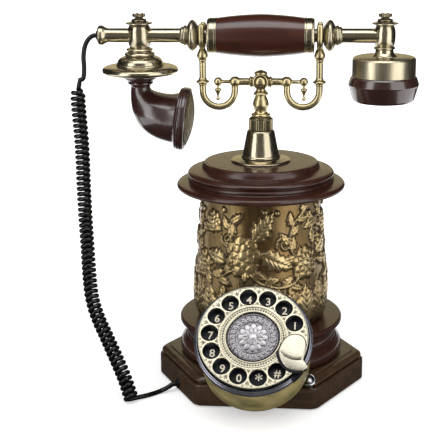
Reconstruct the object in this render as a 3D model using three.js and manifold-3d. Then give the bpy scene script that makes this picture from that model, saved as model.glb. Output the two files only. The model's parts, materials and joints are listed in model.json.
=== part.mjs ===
// A desk telephone in an antique style. Millimetres, +Z up, front towards -Y, the handset lies along X.
// The origin is the centre of the base's underside, on the table.
import * as THREE from "three";
import { mergeVertices } from "three/addons/utils/BufferGeometryUtils.js";
import Module from "manifold-3d";

const wasm = await Module();
wasm.setup();

// ---- Driving dimensions -------------------------------------------------------------------------

// Sides of a turned piece, by its size
const BROAD = 24;
const MEDIUM = 18;
const SLIM = 12;

const GAP = 0.3; // clearance between pieces that move on each other or sit in each other

// Plinth: a hexagon, given by its side corner and its front corner
const PLINTH_SIDE_X = 85.6;
const PLINTH_FRONT_X = 47.4;
const PLINTH_FRONT_Y = 68.6;
const PLINTH_CORNER = 5;
const PLINTH_BOTTOM = 1.2;
const PLINTH_TOP = 25.8;
const PLINTH_WALL = 6;
const PLINTH_CEILING = 21.8;
const PLATE_TOP = 2.6;

// Tower: stacked pieces on the plinth
const PEDESTAL_TOP = 56.5;
const PEDESTAL_BORE = 44;
const BARREL_TOP = 162.5;
const CROWN_TOP = 184.1;
const CROWN_BORE = 7.5;
const ESCUTCHEON_TOP = 187;
const CONE_TOP = 208.8;
const COLLAR_TOP = 219.2;
const COLUMN_BORE = 6;

// Barrel: its wall's outside, and the main forms of the relief on it, laid out in millimetres round it from its
// front and, the same again, from its back
const BARREL_PROFILE = [
  [49.2, PEDESTAL_TOP], [52.8, 70], [53, 88], [51.2, 112], [48.9, 142], [48.2, BARREL_TOP],
];
const RELIEF_ROUND = 344;
const RELIEF_HEIGHT = 2.2;
// Blossoms: [across, z, radius]
const BLOSSOMS = [[-12, 119, 16], [-56, 107, 12.5], [44, 111, 13.5], [-42, 143, 9.5], [76, 139, 10]];
// Leaves: [across, z, heading, length, width], from the root
const LEAVES = [[58, 116, 40, 24, 13], [-27, 113, 160, 20, 12], [3, 121, -26, 30, 14], [-3, 131, 50, 28, 14]];
// Upright leaves in a row round the foot of each half
const FOOT_LEAVES = 6;
const FOOT_LEAF = [58, 90, 36, 21];

// Dial: its frame stands at the centre of the widest ring, +Z out of its face
const DIAL_CENTRE = new THREE.Vector3(0, -87.8, 65.1);
const DIAL_TILT = Math.PI / 4;
const DIAL_RADIUS = 45;
const DRUM_RADIUS = 42;
const DRUM_DEPTH = 40;
const WHEEL_RADIUS = 41.6;
const WHEEL_BACK = 4.6;
const WHEEL_FACE = 7;
const HOLE_RADIUS = 6.5;
const HOLE_CIRCLE = 32.9;
const HOLE_COUNT = 12;
const HOLE_FIRST = THREE.MathUtils.degToRad(21.2);
const HOLE_STEP = THREE.MathUtils.degToRad(25.8);
const MEDALLION_RADIUS = 19.4;

// Cradle: a hub on the column, two hooks whose forks hold the handset
const CRADLE_BOTTOM = COLLAR_TOP + GAP;
const ARM_Z = 247;
const ARM_BALL_X = 20.5;
const POST_X = 45.7;
const HOOK_TUBE = 2.55;
const HOOK_BEND_Z = 239.6;
const POST_TOP = 264.4;
const FORK_TIP = 292.7;

// Handset: its axis and how far from the middle its two sockets stand
const HANDSET_Z = 283;
const SOCKET_X = 95.2;
const SOCKET_TOP = 11.2;
const NECK_RADIUS = 5.15;
const GRIP_HALF = 34;
const GRIP_RADIUS = 16.6;
const FERRULE_END = 41.4;
const FERRULE_RADIUS = 13.8;
const ARM_TUBE = 5.6;
const ARM_TUBE_START = 62.8;
const LEFT_END = 128.3;

// Mouthpiece rim: its back's centre, and how far its face looks down
const RIM_X = -66.5;
const RIM_Z = 217.7;
const RIM_DROP = THREE.MathUtils.degToRad(7.3);
const RIM_RADIUS = 25.2;
const RIM_DEPTH = 8.2;

// Function button on the plinth's front moulding
const BUTTON_CENTRE = new THREE.Vector3(41.1, -64, 23.4);
const BUTTON_ELEVATION = THREE.MathUtils.degToRad(58);

// Cord: a round wire wound into a right-handed curl between two short leads
const WIRE = 1.55;
const CURL_RADIUS = 4.6;
const CURL_PITCH = 4.35;
const CURL_STEPS = 8;
const CURL_SIDES = 5;
const LEAD_SIDES = 8;
const LEAD_HEADING = THREE.MathUtils.degToRad(34.4);

// ---- Materials ----------------------------------------------------------------------------------

const metal = (color, roughness) => new THREE.MeshStandardMaterial({ color, roughness, metalness: 0.95 });
const matt = (color, roughness) => new THREE.MeshStandardMaterial({ color, roughness, metalness: 0 });

const BRASS = metal(0xa8925f, 0.32);
const WOOD = matt(0x3d1a12, 0.25);
const HORN_BROWN = matt(0x2f130e, 0.2);
const OLD_GOLD = metal(0x8f7a45, 0.5);
const RING_BLUE = matt(0x2c303a, 0.35);
const DIAL_BLACK = matt(0x101114, 0.4);
const SILVER = metal(0x9c9a9c, 0.4);
const CHROME = metal(0xd4d6d9, 0.12);
const STEEL = metal(0x8c8f93, 0.45);
const RUBBER = matt(0x121212, 0.6);
const FELT = matt(0x26231f, 0.95);
const CARD = matt(0x2f5a3a, 0.6);
const CREAM = matt(0xd8d2bd, 0.5);

// ---- Shapes -------------------------------------------------------------------------------------

// One closed mesh: shared corners merged, collapsed triangles dropped.
function closed(geometry) {
  const bare = new THREE.BufferGeometry();
  bare.setAttribute("position", geometry.getAttribute("position").clone());
  bare.setIndex(geometry.index);
  const merged = mergeVertices(bare, 1e-3);
  const kept = [];
  const corner = merged.index.array;
  for (let i = 0; i < corner.length; i += 3) {
    const [a, b, c] = [corner[i], corner[i + 1], corner[i + 2]];
    if (a !== b && b !== c && c !== a) kept.push(a, b, c);
  }
  merged.setIndex(kept);
  return merged;
}

function solid(geometry) {
  const mesh = closed(geometry);
  const vertProperties = mesh.getAttribute("position").array;
  const triVerts = new Uint32Array(mesh.index.array);
  return new wasm.Manifold(new wasm.Mesh({ numProp: 3, vertProperties, triVerts }));
}

function surface(body) {
  const mesh = body.getMesh();
  const geometry = new THREE.BufferGeometry();
  geometry.setAttribute("position", new THREE.BufferAttribute(mesh.vertProperties, 3));
  geometry.setIndex(new THREE.BufferAttribute(mesh.triVerts, 1));
  return geometry;
}

const cut = (from, ...tools) => surface(tools.reduce((left, tool) => left.subtract(solid(tool)), solid(from)));
const join = (first, ...rest) => surface(rest.reduce((sum, next) => sum.add(solid(next)), solid(first)));

// Turned about Z. The profile is [radius, z], anticlockwise, and starts and ends on the axis or closes on itself.
function turned(profile, sides) {
  const points = profile.map(([r, z]) => new THREE.Vector2(r, z));
  if (profile[0][0] > 0) points.push(points[0].clone());
  return closed(new THREE.LatheGeometry(points, sides).rotateX(Math.PI / 2));
}

const alongX = (geometry) => geometry.rotateY(Math.PI / 2);
const mirroredX = (profile) => profile.map(([r, x]) => [r, -x]).reverse();
const rod = (radius, low, high, sides = 16) => turned([[0, low], [radius, low], [radius, high], [0, high]], sides);
const pipe = (bore, radius, low, high, sides) =>
  turned([[bore, low], [radius, low], [radius, high], [bore, high]], sides);

function block(width, depth, height, x, y, z) {
  return new THREE.BoxGeometry(width, depth, height).translate(x, y, z);
}

function circle(radius, sides) {
  const corners = [];
  for (let i = 0; i < sides; i++) {
    const angle = (i * 2 * Math.PI) / sides;
    corners.push(new THREE.Vector2(radius * Math.cos(angle), radius * Math.sin(angle)));
  }
  return corners;
}

const vectors = (points) => points.map(([x, y, z]) => new THREE.Vector3(x, y, z));
const smooth = (points) => new THREE.CatmullRomCurve3(vectors(points), false, "centripetal");

// A round bar along a smooth curve through the points.
function bar(points, radius, steps) {
  const section = new THREE.Shape(circle(radius, 8));
  return new THREE.ExtrudeGeometry(section, { steps, extrudePath: smooth(points), bevelEnabled: false });
}

// A skin over rings of equally many corners, with a fan on each end ring.
function skin(rings) {
  const sides = rings[0].length;
  const corners = rings.flat().flatMap((p) => [p.x, p.y, p.z]);
  const index = [];
  for (let low = 0; low < (rings.length - 1) * sides; low += sides) {
    const high = low + sides;
    for (let i = 0; i < sides; i++) {
      const j = (i + 1) % sides;
      index.push(low + i, low + j, high + j, low + i, high + j, high + i);
    }
  }
  const top = (rings.length - 1) * sides;
  for (let i = 1; i < sides - 1; i++) {
    index.push(0, i + 1, i);
    index.push(top, top + i, top + i + 1);
  }
  const geometry = new THREE.BufferGeometry();
  geometry.setAttribute("position", new THREE.Float32BufferAttribute(corners, 3));
  geometry.setIndex(index);
  return closed(geometry);
}

const root = new THREE.Group();
const dial = new THREE.Group();
dial.position.copy(DIAL_CENTRE);
dial.rotation.x = DIAL_TILT;
const handset = new THREE.Group();
handset.position.z = HANDSET_Z;
const mouthpiece = new THREE.Group();
mouthpiece.position.set(RIM_X, 0, RIM_Z);
mouthpiece.rotation.y = Math.PI / 2 + RIM_DROP;
root.add(dial, handset, mouthpiece);

function part(name, geometry, material, parent = root) {
  const mesh = new THREE.Mesh(geometry, material);
  mesh.name = name;
  parent.add(mesh);
}

// ---- Plinth -------------------------------------------------------------------------------------

// The hexagon's outline, drawn in by an even margin, with its corners cut at both ends.
function hexagon(inset) {
  const corners = [
    [PLINTH_SIDE_X, 0],
    [PLINTH_FRONT_X, PLINTH_FRONT_Y],
    [-PLINTH_FRONT_X, PLINTH_FRONT_Y],
    [-PLINTH_SIDE_X, 0],
    [-PLINTH_FRONT_X, -PLINTH_FRONT_Y],
    [PLINTH_FRONT_X, -PLINTH_FRONT_Y],
  ].map(([x, y]) => new THREE.Vector2(x, y));
  const around = (i) => corners[(i + corners.length) % corners.length];
  const outline = [];
  corners.forEach((corner, i) => {
    const before = around(i - 1).clone().sub(corner).normalize();
    const after = around(i + 1).clone().sub(corner).normalize();
    const inward = before.clone().add(after).normalize();
    const half = Math.acos(before.dot(after)) / 2;
    const moved = corner.clone().addScaledVector(inward, inset / Math.sin(half));
    const trim = PLINTH_CORNER * Math.max(0.2, 1 - inset / 20);
    outline.push(moved.clone().addScaledVector(before, trim));
    outline.push(moved.clone().addScaledVector(after, trim));
  });
  return outline;
}

const hexRing = (inset, z) => hexagon(inset).map((p) => new THREE.Vector3(p.x, p.y, z));
const hexPlate = (inset, low, high) => skin([hexRing(inset, low), hexRing(inset, high)]);

const button = new THREE.Group();
button.position.copy(BUTTON_CENTRE);
button.rotation.x = Math.PI / 2 - BUTTON_ELEVATION;
root.add(button);

// The cord enters square to the front-left side, a little above the table.
const sideRun = new THREE.Vector2(PLINTH_SIDE_X - PLINTH_FRONT_X, -PLINTH_FRONT_Y).normalize();
const ENTRY = new THREE.Vector3(-PLINTH_SIDE_X + sideRun.x * 42.5, sideRun.y * 42.5, 6);
const ENTRY_TURN = Math.atan2(-sideRun.x, sideRun.y);
const GROMMET_DEPTH = 7;
const entryHole = (radius) =>
  rod(radius, -10, 10).rotateY(Math.PI / 2).rotateZ(ENTRY_TURN).translate(ENTRY.x, ENTRY.y, ENTRY.z);

const JACK = { width: 14, height: 13, depth: 14, z: 10.5 };
const SCREW_SPOTS = [[62, 18], [-62, 18], [34, -50], [-34, -50]];
const SCREW = 1.6;

function plinth() {
  const outside = skin([
    hexRing(0, PLINTH_BOTTOM),
    hexRing(0, 19.4),
    hexRing(1.6, 20.2),
    hexRing(1.6, 21.4),
    hexRing(2.8, 22),
    hexRing(8.6, PLINTH_TOP),
  ]);
  const inside = hexPlate(PLINTH_WALL, -1, PLINTH_CEILING);
  const rabbet = hexPlate(3, -1, PLATE_TOP);
  const wires = rod(10, 15, 30).translate(0, 30, 0);
  const pocket = rod(5.6 + GAP, -9, 9);
  pocket.rotateX(button.rotation.x).translate(BUTTON_CENTRE.x, BUTTON_CENTRE.y, BUTTON_CENTRE.z);
  const jack = block(JACK.width + GAP, 30, JACK.height + GAP, 0, PLINTH_FRONT_Y, JACK.z);
  part("plinth_shell", cut(outside, inside, rabbet, wires, pocket, jack, entryHole(3 + GAP)), WOOD);
}

function underside() {
  const through = SCREW_SPOTS.map(([x, y]) => rod(SCREW + 0.2, -1, 6, 8).translate(x, y, 0));
  const heads = SCREW_SPOTS.map(([x, y]) => rod(4, -1, PLINTH_BOTTOM + 1, 10).translate(x, y, 0));
  part("base_mat", cut(hexPlate(4.2, 0, PLINTH_BOTTOM), ...heads), FELT);
  part("bottom_plate", cut(hexPlate(3 + GAP, PLINTH_BOTTOM, PLATE_TOP), ...through), STEEL);
  part("ballast_weight", block(70, 34, 8, 0, 34, PLATE_TOP + 4), STEEL);
}

function electronics() {
  const board = block(58, 40, 1.6, 0, -18, 10.8);
  const legs = [-25, 25].flatMap((x) => [-34, -2].map((y) => rod(2, PLATE_TOP, 10.5, 8).translate(x, y, 0)));
  part("circuit_board", join(board, ...legs), CARD);
  const cone = [[0, PLINTH_TOP], [12, PLINTH_TOP], [13, 29], [21, 33], [21, 35], [19, 35], [0, 31]];
  part("ringer_speaker", turned(cone, SLIM).translate(0, 4, 0), STEEL);
  const body = block(JACK.width, JACK.depth, JACK.height, 0, PLINTH_FRONT_Y - JACK.depth / 2, JACK.z);
  const socket = block(10, 10, 7, 0, PLINTH_FRONT_Y - 4, JACK.z + 0.5);
  part("line_jack", cut(body, socket), CREAM);
  const ring = pipe(WIRE + 0.15, 3, 0, GROMMET_DEPTH, 12).translate(0, 0, -GROMMET_DEPTH + 1);
  part("cord_grommet", ring.rotateY(Math.PI / 2).rotateZ(ENTRY_TURN).translate(ENTRY.x, ENTRY.y, ENTRY.z), RUBBER);
}

function functionButton() {
  const bezel = [[4.1, -5], [5.6, -5], [5.6, 1.6], [5.2, 2.1], [4.5, 2.1], [4.1, 1.7]];
  part("button_bezel", turned(bezel, SLIM), CHROME, button);
  part("function_button", turned([[0, -3.2], [3.8, -3.2], [3.8, 1.9], [3.1, 2.6], [0, 2.9]], SLIM), CHROME, button);
}

// ---- Tower --------------------------------------------------------------------------------------

// The space that the dial's housing takes out of the pieces behind it.
function dialSeat() {
  const step = -4.1;
  const back = -DRUM_DEPTH - GAP;
  const bore = DRUM_RADIUS + GAP;
  const rim = DIAL_RADIUS + 0.4;
  const seat = turned([[0, back], [bore, back], [bore, step], [rim, step], [rim, 24], [0, 24]], BROAD + 4);
  return seat.rotateX(DIAL_TILT).translate(DIAL_CENTRE.x, DIAL_CENTRE.y, DIAL_CENTRE.z);
}

// A point of the barrel, this far out of its wall.
function onBarrel(across, z, out) {
  const above = Math.max(1, BARREL_PROFILE.findIndex(([, height]) => height >= z));
  const [[r0, z0], [r1, z1]] = [BARREL_PROFILE[above - 1], BARREL_PROFILE[above]];
  const radius = r0 + ((r1 - r0) * (z - z0)) / (z1 - z0) + out;
  const angle = (across * 2 * Math.PI) / RELIEF_ROUND;
  return new THREE.Vector3(radius * Math.sin(angle), -radius * Math.cos(angle), z);
}

// A form that stands out of the wall, from its outline, anticlockwise about its middle, to a smaller flat top.
function raised(across, z, outline) {
  const ring = (scale, out) => outline.map(([x, y]) => onBarrel(across + x * scale, z + y * scale, out));
  return skin([ring(1, -1), ring(0.6, RELIEF_HEIGHT)]);
}

function leaf([across, z, heading, length, width]) {
  const turn = THREE.MathUtils.degToRad(heading);
  const [along, aside] = [new THREE.Vector2(length / 2, 0), new THREE.Vector2(-length * 0.08, width / 2)];
  const corners = [along, aside, along.clone().negate(), new THREE.Vector2(aside.x, -aside.y)];
  const outline = corners.map((p) => p.clone().rotateAround(new THREE.Vector2(), turn).toArray());
  return raised(across + (length / 2) * Math.cos(turn), z + (length / 2) * Math.sin(turn), outline);
}

function blossom([across, z, radius]) {
  return raised(across, z, circle(radius, 6).map((p) => p.toArray()));
}

function barrelRelief() {
  const step = RELIEF_ROUND / 2 / FOOT_LEAVES;
  const foot = [...Array(FOOT_LEAVES).keys()].map((i) => leaf([(i + 0.5) * step, ...FOOT_LEAF]));
  const half = [...foot, ...LEAVES.map(leaf), ...BLOSSOMS.map(blossom)];
  return [...half, ...half.map((form) => form.clone().rotateZ(Math.PI))];
}

function tower() {
  const pedestal = [
    [PEDESTAL_BORE, PLINTH_TOP], [63.8, PLINTH_TOP], [65.9, 29.6], [65.4, 35], [61.4, 40], [59.8, 45], [62.6, 51],
    [65.6, 53], [65.9, 55.4], [64.9, PEDESTAL_TOP], [PEDESTAL_BORE, PEDESTAL_TOP],
  ];
  part("pedestal_moulding", cut(turned(pedestal, BROAD), dialSeat()), WOOD);

  const inside = [[44.2, BARREL_TOP], [48.6, 84], [45, PEDESTAL_TOP]];
  const wall = turned([...BARREL_PROFILE, ...inside], BROAD);
  part("barrel_shell", cut(join(wall, ...barrelRelief()), dialSeat()), OLD_GOLD);

  const crown = [
    [CROWN_BORE, BARREL_TOP], [63, BARREL_TOP], [66.2, 163.8], [66.8, 165.8], [65.4, 167.8], [58.4, 169.2],
    [57.2, 176.4], [48.2, 178.4], [45, 181], [44, CROWN_TOP], [CROWN_BORE, CROWN_TOP],
  ];
  part("crown_top", turned(crown, BROAD), WOOD);
}

function column() {
  const disc = [
    [COLUMN_BORE, CROWN_TOP], [23.6, CROWN_TOP], [23.6, 185.3], [20, 186.5], [15.6, ESCUTCHEON_TOP],
    [COLUMN_BORE, ESCUTCHEON_TOP],
  ];
  part("escutcheon_disc", turned(disc, MEDIUM), BRASS);
  const cone = [
    [COLUMN_BORE, ESCUTCHEON_TOP], [15.2, ESCUTCHEON_TOP], [15.2, 188.3], [14.2, 189.2], [10.9, CONE_TOP],
    [COLUMN_BORE, CONE_TOP],
  ];
  part("column_cone", turned(cone, MEDIUM), BRASS);

  const ribs = 24;
  const knurl = new THREE.Shape(circle(9, ribs * 2).map((p, i) => p.multiplyScalar(i % 2 ? 0.94 : 1)));
  knurl.holes.push(new THREE.Path(circle(COLUMN_BORE, 16)));
  const collar = new THREE.ExtrudeGeometry(knurl, { depth: COLLAR_TOP - CONE_TOP, bevelEnabled: false });
  part("knurled_collar", collar.translate(0, 0, CONE_TOP), BRASS);
}

function hookSwitch() {
  const flange = BARREL_TOP - 2;
  const bush = [[2.9, flange], [10, flange], [10, BARREL_TOP], [7.2, BARREL_TOP], [7.2, 165.5], [2.9, 165.5]];
  part("guide_bush", turned(bush, 12), BRASS);
  part("hook_spring", pipe(3.4, 5.2, 165.8, CRADLE_BOTTOM - 0.2, 12), STEEL);
  part("hook_switch", block(16, 12, 14, 19.5, 0, BARREL_TOP - 7), DIAL_BLACK);
  const plunger = [[0, 149], [4.4, 149], [4.4, 152], [2.5, 152.5], [2.5, CRADLE_BOTTOM], [0, CRADLE_BOTTOM]];
  part("plunger_rod", turned(plunger, 12), STEEL);
}

// ---- Dial ---------------------------------------------------------------------------------------

function dialHousing() {
  const cup = [[0, -DRUM_DEPTH], [DRUM_RADIUS, -DRUM_DEPTH], [DRUM_RADIUS, -4], [38.6, -4], [38.6, -38], [0, -38]];
  part("dial_drum", turned(cup, BROAD + 4), OLD_GOLD, dial);
  const ring = [
    [39, -3.8], [43.4, -3.8], [DIAL_RADIUS, -0.4], [44.6, 2.2], [43.4, 3.9], [42.4, 3.9], [42.4, -1], [39, -1],
  ];
  part("dial_ring", turned(ring, BROAD + 4), RING_BLUE, dial);
  part("number_plate", pipe(3.4, 42.1, -0.8, 0.8, BROAD), DIAL_BLACK, dial);
  part("dial_spring_case", turned([[3.4, -13], [15, -13], [15, -1.1], [3.4, -1.1]], SLIM), STEEL, dial);
  part("dial_shaft", rod(3, -18, 2.3, 12), STEEL, dial);
}

function fingerWheel() {
  const disc = new THREE.Shape(circle(WHEEL_RADIUS, 40));
  for (let i = 0; i < HOLE_COUNT; i++) {
    const angle = HOLE_FIRST + i * HOLE_STEP;
    const centre = new THREE.Vector2(Math.cos(angle), Math.sin(angle)).multiplyScalar(HOLE_CIRCLE);
    disc.holes.push(new THREE.Path(circle(HOLE_RADIUS, 12).map((p) => p.add(centre))));
  }
  disc.holes.push(new THREE.Path(circle(MEDALLION_RADIUS + GAP, 24)));
  const wheel = new THREE.ExtrudeGeometry(disc, { depth: WHEEL_FACE - WHEEL_BACK, bevelEnabled: false });
  part("finger_wheel", wheel.translate(0, 0, WHEEL_BACK), BRASS, dial);
  const back = WHEEL_BACK - GAP;
  const medallion = [
    [0, 2.6], [22, 2.6], [22, back], [MEDALLION_RADIUS, back], [MEDALLION_RADIUS, 6.2], [17, 6.4], [15, 5.8], [0, 6.2],
  ];
  part("wheel_medallion", turned(medallion, MEDIUM), SILVER, dial);
}

// The stop is a leaf-shaped plate over the wheel's right side; its leg stands on the ring.
function fingerStop() {
  const leaf = new THREE.Shape();
  leaf.moveTo(20.6, -11.5);
  leaf.quadraticCurveTo(21.5, -2, 27.5, 1.5);
  leaf.quadraticCurveTo(36.5, 3.5, 39.6, -3.5);
  leaf.quadraticCurveTo(41, -11.5, 38.2, -17.2);
  leaf.quadraticCurveTo(42.6, -19.6, 40.4, -24);
  leaf.quadraticCurveTo(37.6, -29.2, 31, -26.4);
  leaf.quadraticCurveTo(22.6, -22, 20.6, -11.5);
  const plate = new THREE.ExtrudeGeometry(leaf, { depth: 1.6, curveSegments: 3, bevelEnabled: false });
  const leg = block(2.2, 9, 4.6, 42.9, 0, 0).rotateZ(-0.53).translate(0, 0, 6.3);
  part("finger_stop", join(plate.translate(0, 0, 7.6), leg), BRASS, dial);
}

// ---- Cradle -------------------------------------------------------------------------------------

function cradleHub() {
  const baluster = [
    [0, CRADLE_BOTTOM], [7.3, CRADLE_BOTTOM], [7.3, 222.2], [4.8, 222.8], [4.8, 224.2], [6.2, 229], [4.1, 236.2],
    [5.8, 237.4], [3.5, 240.4], [3.5, 242], [4.6, 243.6], [4.6, 251.4], [3.4, 252.2], [5, 253], [5, 254.8], [0, 256.6],
  ];
  part("cradle_baluster", turned(baluster, SLIM), BRASS);
  const seal = turned([[0, 0], [6.2, 0], [6.2, 1.4], [4.8, 1.6], [4.2, 2.6], [0, 3.4]], SLIM);
  part("hub_medallion", seal.rotateX(Math.PI / 2).translate(0, -5, ARM_Z + 0.6), BRASS);
}

function cradleSide(name, side) {
  const arm = [
    [0, 4.9], [3, 4.9], [3, 5.8], [4.3, 6.2], [4.3, 8.4], [3, 8.9], [3, 17], [4.2, 19], [4.2, 22], [1.45, 24],
    [1.45, 30.6], [3.3, 32.4], [3.3, 35], [0, 37],
  ];
  const drop = turned([[0, -14], [1.6, -13.2], [1, -10.4], [2.8, -6.2], [2.4, -4.6], [1.2, -3], [1.2, 0], [0, 0]], 8);
  const limb = alongX(turned(side > 0 ? arm : mirroredX(arm), 10)).translate(0, 0, ARM_Z);
  part(name + "_arm", join(limb, drop.translate(side * 33.7, 0, ARM_Z)), BRASS);

  const bend = (POST_X - ARM_BALL_X) / 2;
  const middle = (POST_X + ARM_BALL_X) / 2;
  const route = [[side * ARM_BALL_X, 0, ARM_Z - 4.6]];
  for (let i = 0; i <= 6; i++) {
    const turn = Math.PI + (i * Math.PI) / 6;
    route.push([side * (middle + bend * Math.cos(turn)), 0, HOOK_BEND_Z + bend * Math.sin(turn)]);
  }
  route.push([side * POST_X, 0, 252], [side * POST_X, 0, POST_TOP]);
  const bead = turned([[0, 244.4], [3, 244.4], [5, 246.2], [5, 247.8], [3, 249.6], [0, 249.6]], 10);
  part(name + "_hook", join(bar(route, HOOK_TUBE, 16), bead.translate(side * POST_X, 0, 0)), BRASS);

  const prong = 2.3;
  const reach = NECK_RADIUS + GAP + prong;
  const fork = [[side * POST_X, -reach, FORK_TIP], [side * POST_X, -reach, HANDSET_Z + 4]];
  for (let i = 0; i <= 6; i++) {
    const turn = Math.PI + (i * Math.PI) / 6;
    fork.push([side * POST_X, reach * Math.cos(turn), HANDSET_Z + reach * Math.sin(turn)]);
  }
  fork.push([side * POST_X, reach, HANDSET_Z + 4], [side * POST_X, reach, FORK_TIP]);
  const foot = [[0, POST_TOP], [3, POST_TOP], [4.2, 266.6], [4.2, 269.2], [2.6, 271.4], [2.6, 275.2], [0, 275.2]];
  part(name + "_fork", join(bar(fork, prong, 12), turned(foot, 10).translate(side * POST_X, 0, 0)), BRASS);
}

// ---- Handset ------------------------------------------------------------------------------------

function grip() {
  const belly = [];
  for (let i = 0; i <= 6; i++) {
    const x = -GRIP_HALF + (i * GRIP_HALF) / 3;
    belly.push([FERRULE_RADIUS + (GRIP_RADIUS - FERRULE_RADIUS) * (1 - (x / GRIP_HALF) ** 2), x]);
  }
  part("wood_grip", alongX(turned([[0, -GRIP_HALF], ...belly, [0, GRIP_HALF]], MEDIUM)), WOOD, handset);
}

function armPieces(name, side) {
  const sided = (profile, sides) => alongX(turned(side > 0 ? profile : mirroredX(profile), sides));
  const ferrule = [
    [0, GRIP_HALF], [13.4, GRIP_HALF], [14, 35.4], [13.4, 38], [13.8, 40.2], [12.4, FERRULE_END], [0, FERRULE_END],
  ];
  part(name + "_ferrule", sided(ferrule, MEDIUM), BRASS, handset);
  const bead = [
    [0, FERRULE_END], [NECK_RADIUS, FERRULE_END], [NECK_RADIUS, 48.4], [8, 49.2], [11.4, 51.2], [12.2, 53.2], [11.2, 55.4],
    [7.6, 57.2], [7.6, 58.6], [7.2, 60], [5.9, ARM_TUBE_START], [0, ARM_TUBE_START],
  ];
  part(name + "_bead", sided(bead, SLIM), BRASS, handset);
}

function nut(name, x) {
  const crown = [[0, 0], [5.6, 0], [5.6, 1.6], [3, 2], [3.2, 2.8], [4.2, 3.2], [4.2, 5.2], [3, 5.6], [0, 5.6]];
  part(name, turned(crown, 12).translate(x, 0, SOCKET_TOP), BRASS, handset);
}

function leftArm() {
  const tube = [
    [0, ARM_TUBE_START], [ARM_TUBE, ARM_TUBE_START], [ARM_TUBE, 120.6], [7.7, 124], [7.7, 127], [6.4, LEFT_END],
    [0, LEFT_END],
  ];
  const hole = alongX(rod(WIRE + 1.2, -LEFT_END - 1, -118, 12));
  part("left_arm_tube", cut(alongX(turned(mirroredX(tube), SLIM)), hole), BRASS, handset);
  const bush = alongX(pipe(WIRE + 0.15, WIRE + 1, -LEFT_END - 1.6, -120, 12));
  part("handset_grommet", bush, RUBBER, handset);
  const barrel = [
    [0, -9.4], [8, -9.4], [9.1, -4], [9.1, 3], [7.6, 8.4], [10.4, 9], [10.4, 10.2], [5.6, SOCKET_TOP], [0, SOCKET_TOP],
  ];
  const bore = alongX(rod(ARM_TUBE + 0.15, -SOCKET_X - 20, -SOCKET_X + 20, SLIM));
  part("left_socket", cut(turned(barrel, SLIM + 2).translate(-SOCKET_X, 0, 0), bore), BRASS, handset);
  nut("left_top_nut", -SOCKET_X);
}

function rightArm() {
  const end = SOCKET_X - 1.5;
  part("right_arm_tube", alongX(rod(ARM_TUBE, ARM_TUBE_START, end, SLIM)), BRASS, handset);
  const barrel = [[0, -8], [7.6, -8], [7.6, 6], [7, 8.2], [10, 9], [10, 10.2], [5.6, SOCKET_TOP], [0, SOCKET_TOP]];
  const bore = alongX(rod(ARM_TUBE + 0.15, SOCKET_X - 20, end + GAP, SLIM));
  part("right_socket", cut(turned(barrel, SLIM + 2).translate(SOCKET_X, 0, 0), bore), BRASS, handset);
  nut("right_top_nut", SOCKET_X);
}

function mouthHorn() {
  const saucer = [
    [0, -29], [13.2, -29], [24, -28], [29, -27.8], [29.9, -26.7], [29, -25.6], [26, -26.2], [19.2, -25], [18.8, -23],
    [15.4, -17.8], [11.6, -16.2], [11.6, -13], [10.2, -12], [10.2, -9.4], [0, -9.4],
  ];
  part("mouthpiece_saucer", turned(saucer, MEDIUM).translate(-SOCKET_X, 0, 0), BRASS, handset);

  // Rings of the horn: [turn from straight down towards +X in degrees, centre x, centre z, radius]
  const stations = [
    [0, -SOCKET_X, 254, 13], [0, -SOCKET_X, 249.8, 13], [0, -SOCKET_X, 248.2, 9.4], [0, -SOCKET_X, 244, 8.4],
    [4, -SOCKET_X, 242, 7.8], [27, -94, 236.4, 9.2], [49, -91, 229.5, 12.9], [66, -85.2, 222.8, 17.6],
    [76, -77.3, 219.9, 19.8], [82.7, RIM_X - 0.5, RIM_Z + 0.1, 20.4],
  ];
  const ringAt = ([turn, x, z, radius]) => {
    const angle = THREE.MathUtils.degToRad(turn);
    const across = new THREE.Vector3(Math.cos(angle), 0, Math.sin(angle));
    return circle(radius, SLIM + 2).map((p) => new THREE.Vector3(x, -p.y, z).addScaledVector(across, p.x));
  };
  const hollow = stations.slice(4).map(([turn, x, z, radius]) => [turn, x, z, radius - 2.4]);
  const wall = skin([...stations.map(ringAt), ...hollow.map(ringAt).reverse()]);
  part("mouthpiece_horn", wall, HORN_BROWN);

  const rim = [[18, 0], [24.4, 0], [RIM_RADIUS, 1], [RIM_RADIUS, 7], [24.2, RIM_DEPTH], [18, RIM_DEPTH]];
  part("mouthpiece_rim", turned(rim, MEDIUM + 4), HORN_BROWN, mouthpiece);
  const face = RIM_DEPTH + 0.2;
  const dome = [[0, face], [22.6, face], [21.6, 10.2], [12, 12.6], [0, 13.4]];
  part("mouthpiece_grille", turned(dome, MEDIUM), OLD_GOLD, mouthpiece);
  part("microphone_capsule", rod(16, -3, 6, SLIM), STEEL, mouthpiece);
}

function earpiece() {
  const neck = [[0, -15.7], [9.4, -15.7], [7, -11.6], [7, -9.8], [8.2, -9.2], [8.2, -8], [0, -8]];
  part("earpiece_neck", turned(neck, SLIM).translate(SOCKET_X, 0, 0), BRASS, handset);
  const drum = [[0, -17.7], [22.4, -17.7], [22.4, -31], [24.6, -31], [24.4, -16.7], [23.4, -15.7], [0, -15.7]];
  part("earpiece_drum", turned(drum, MEDIUM + 4).translate(SOCKET_X, 0, 0), BRASS, handset);
  const cap = [
    [0, -51], [18, -50.6], [23, -49.2], [24.4, -47], [27, -39.4], [27.2, -36.6], [25.8, -33.8], [24.8, -31],
    [22.2, -31], [22.2, -40], [20.4, -46.4], [0, -46.8],
  ];
  part("earpiece_cap", turned(cap, MEDIUM + 4).translate(SOCKET_X, 0, 0), HORN_BROWN, handset);
  part("receiver_capsule", rod(19.5, -45, -34, SLIM).translate(SOCKET_X, 0, 0), STEEL, handset);
}

// ---- Cord ---------------------------------------------------------------------------------------

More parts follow.
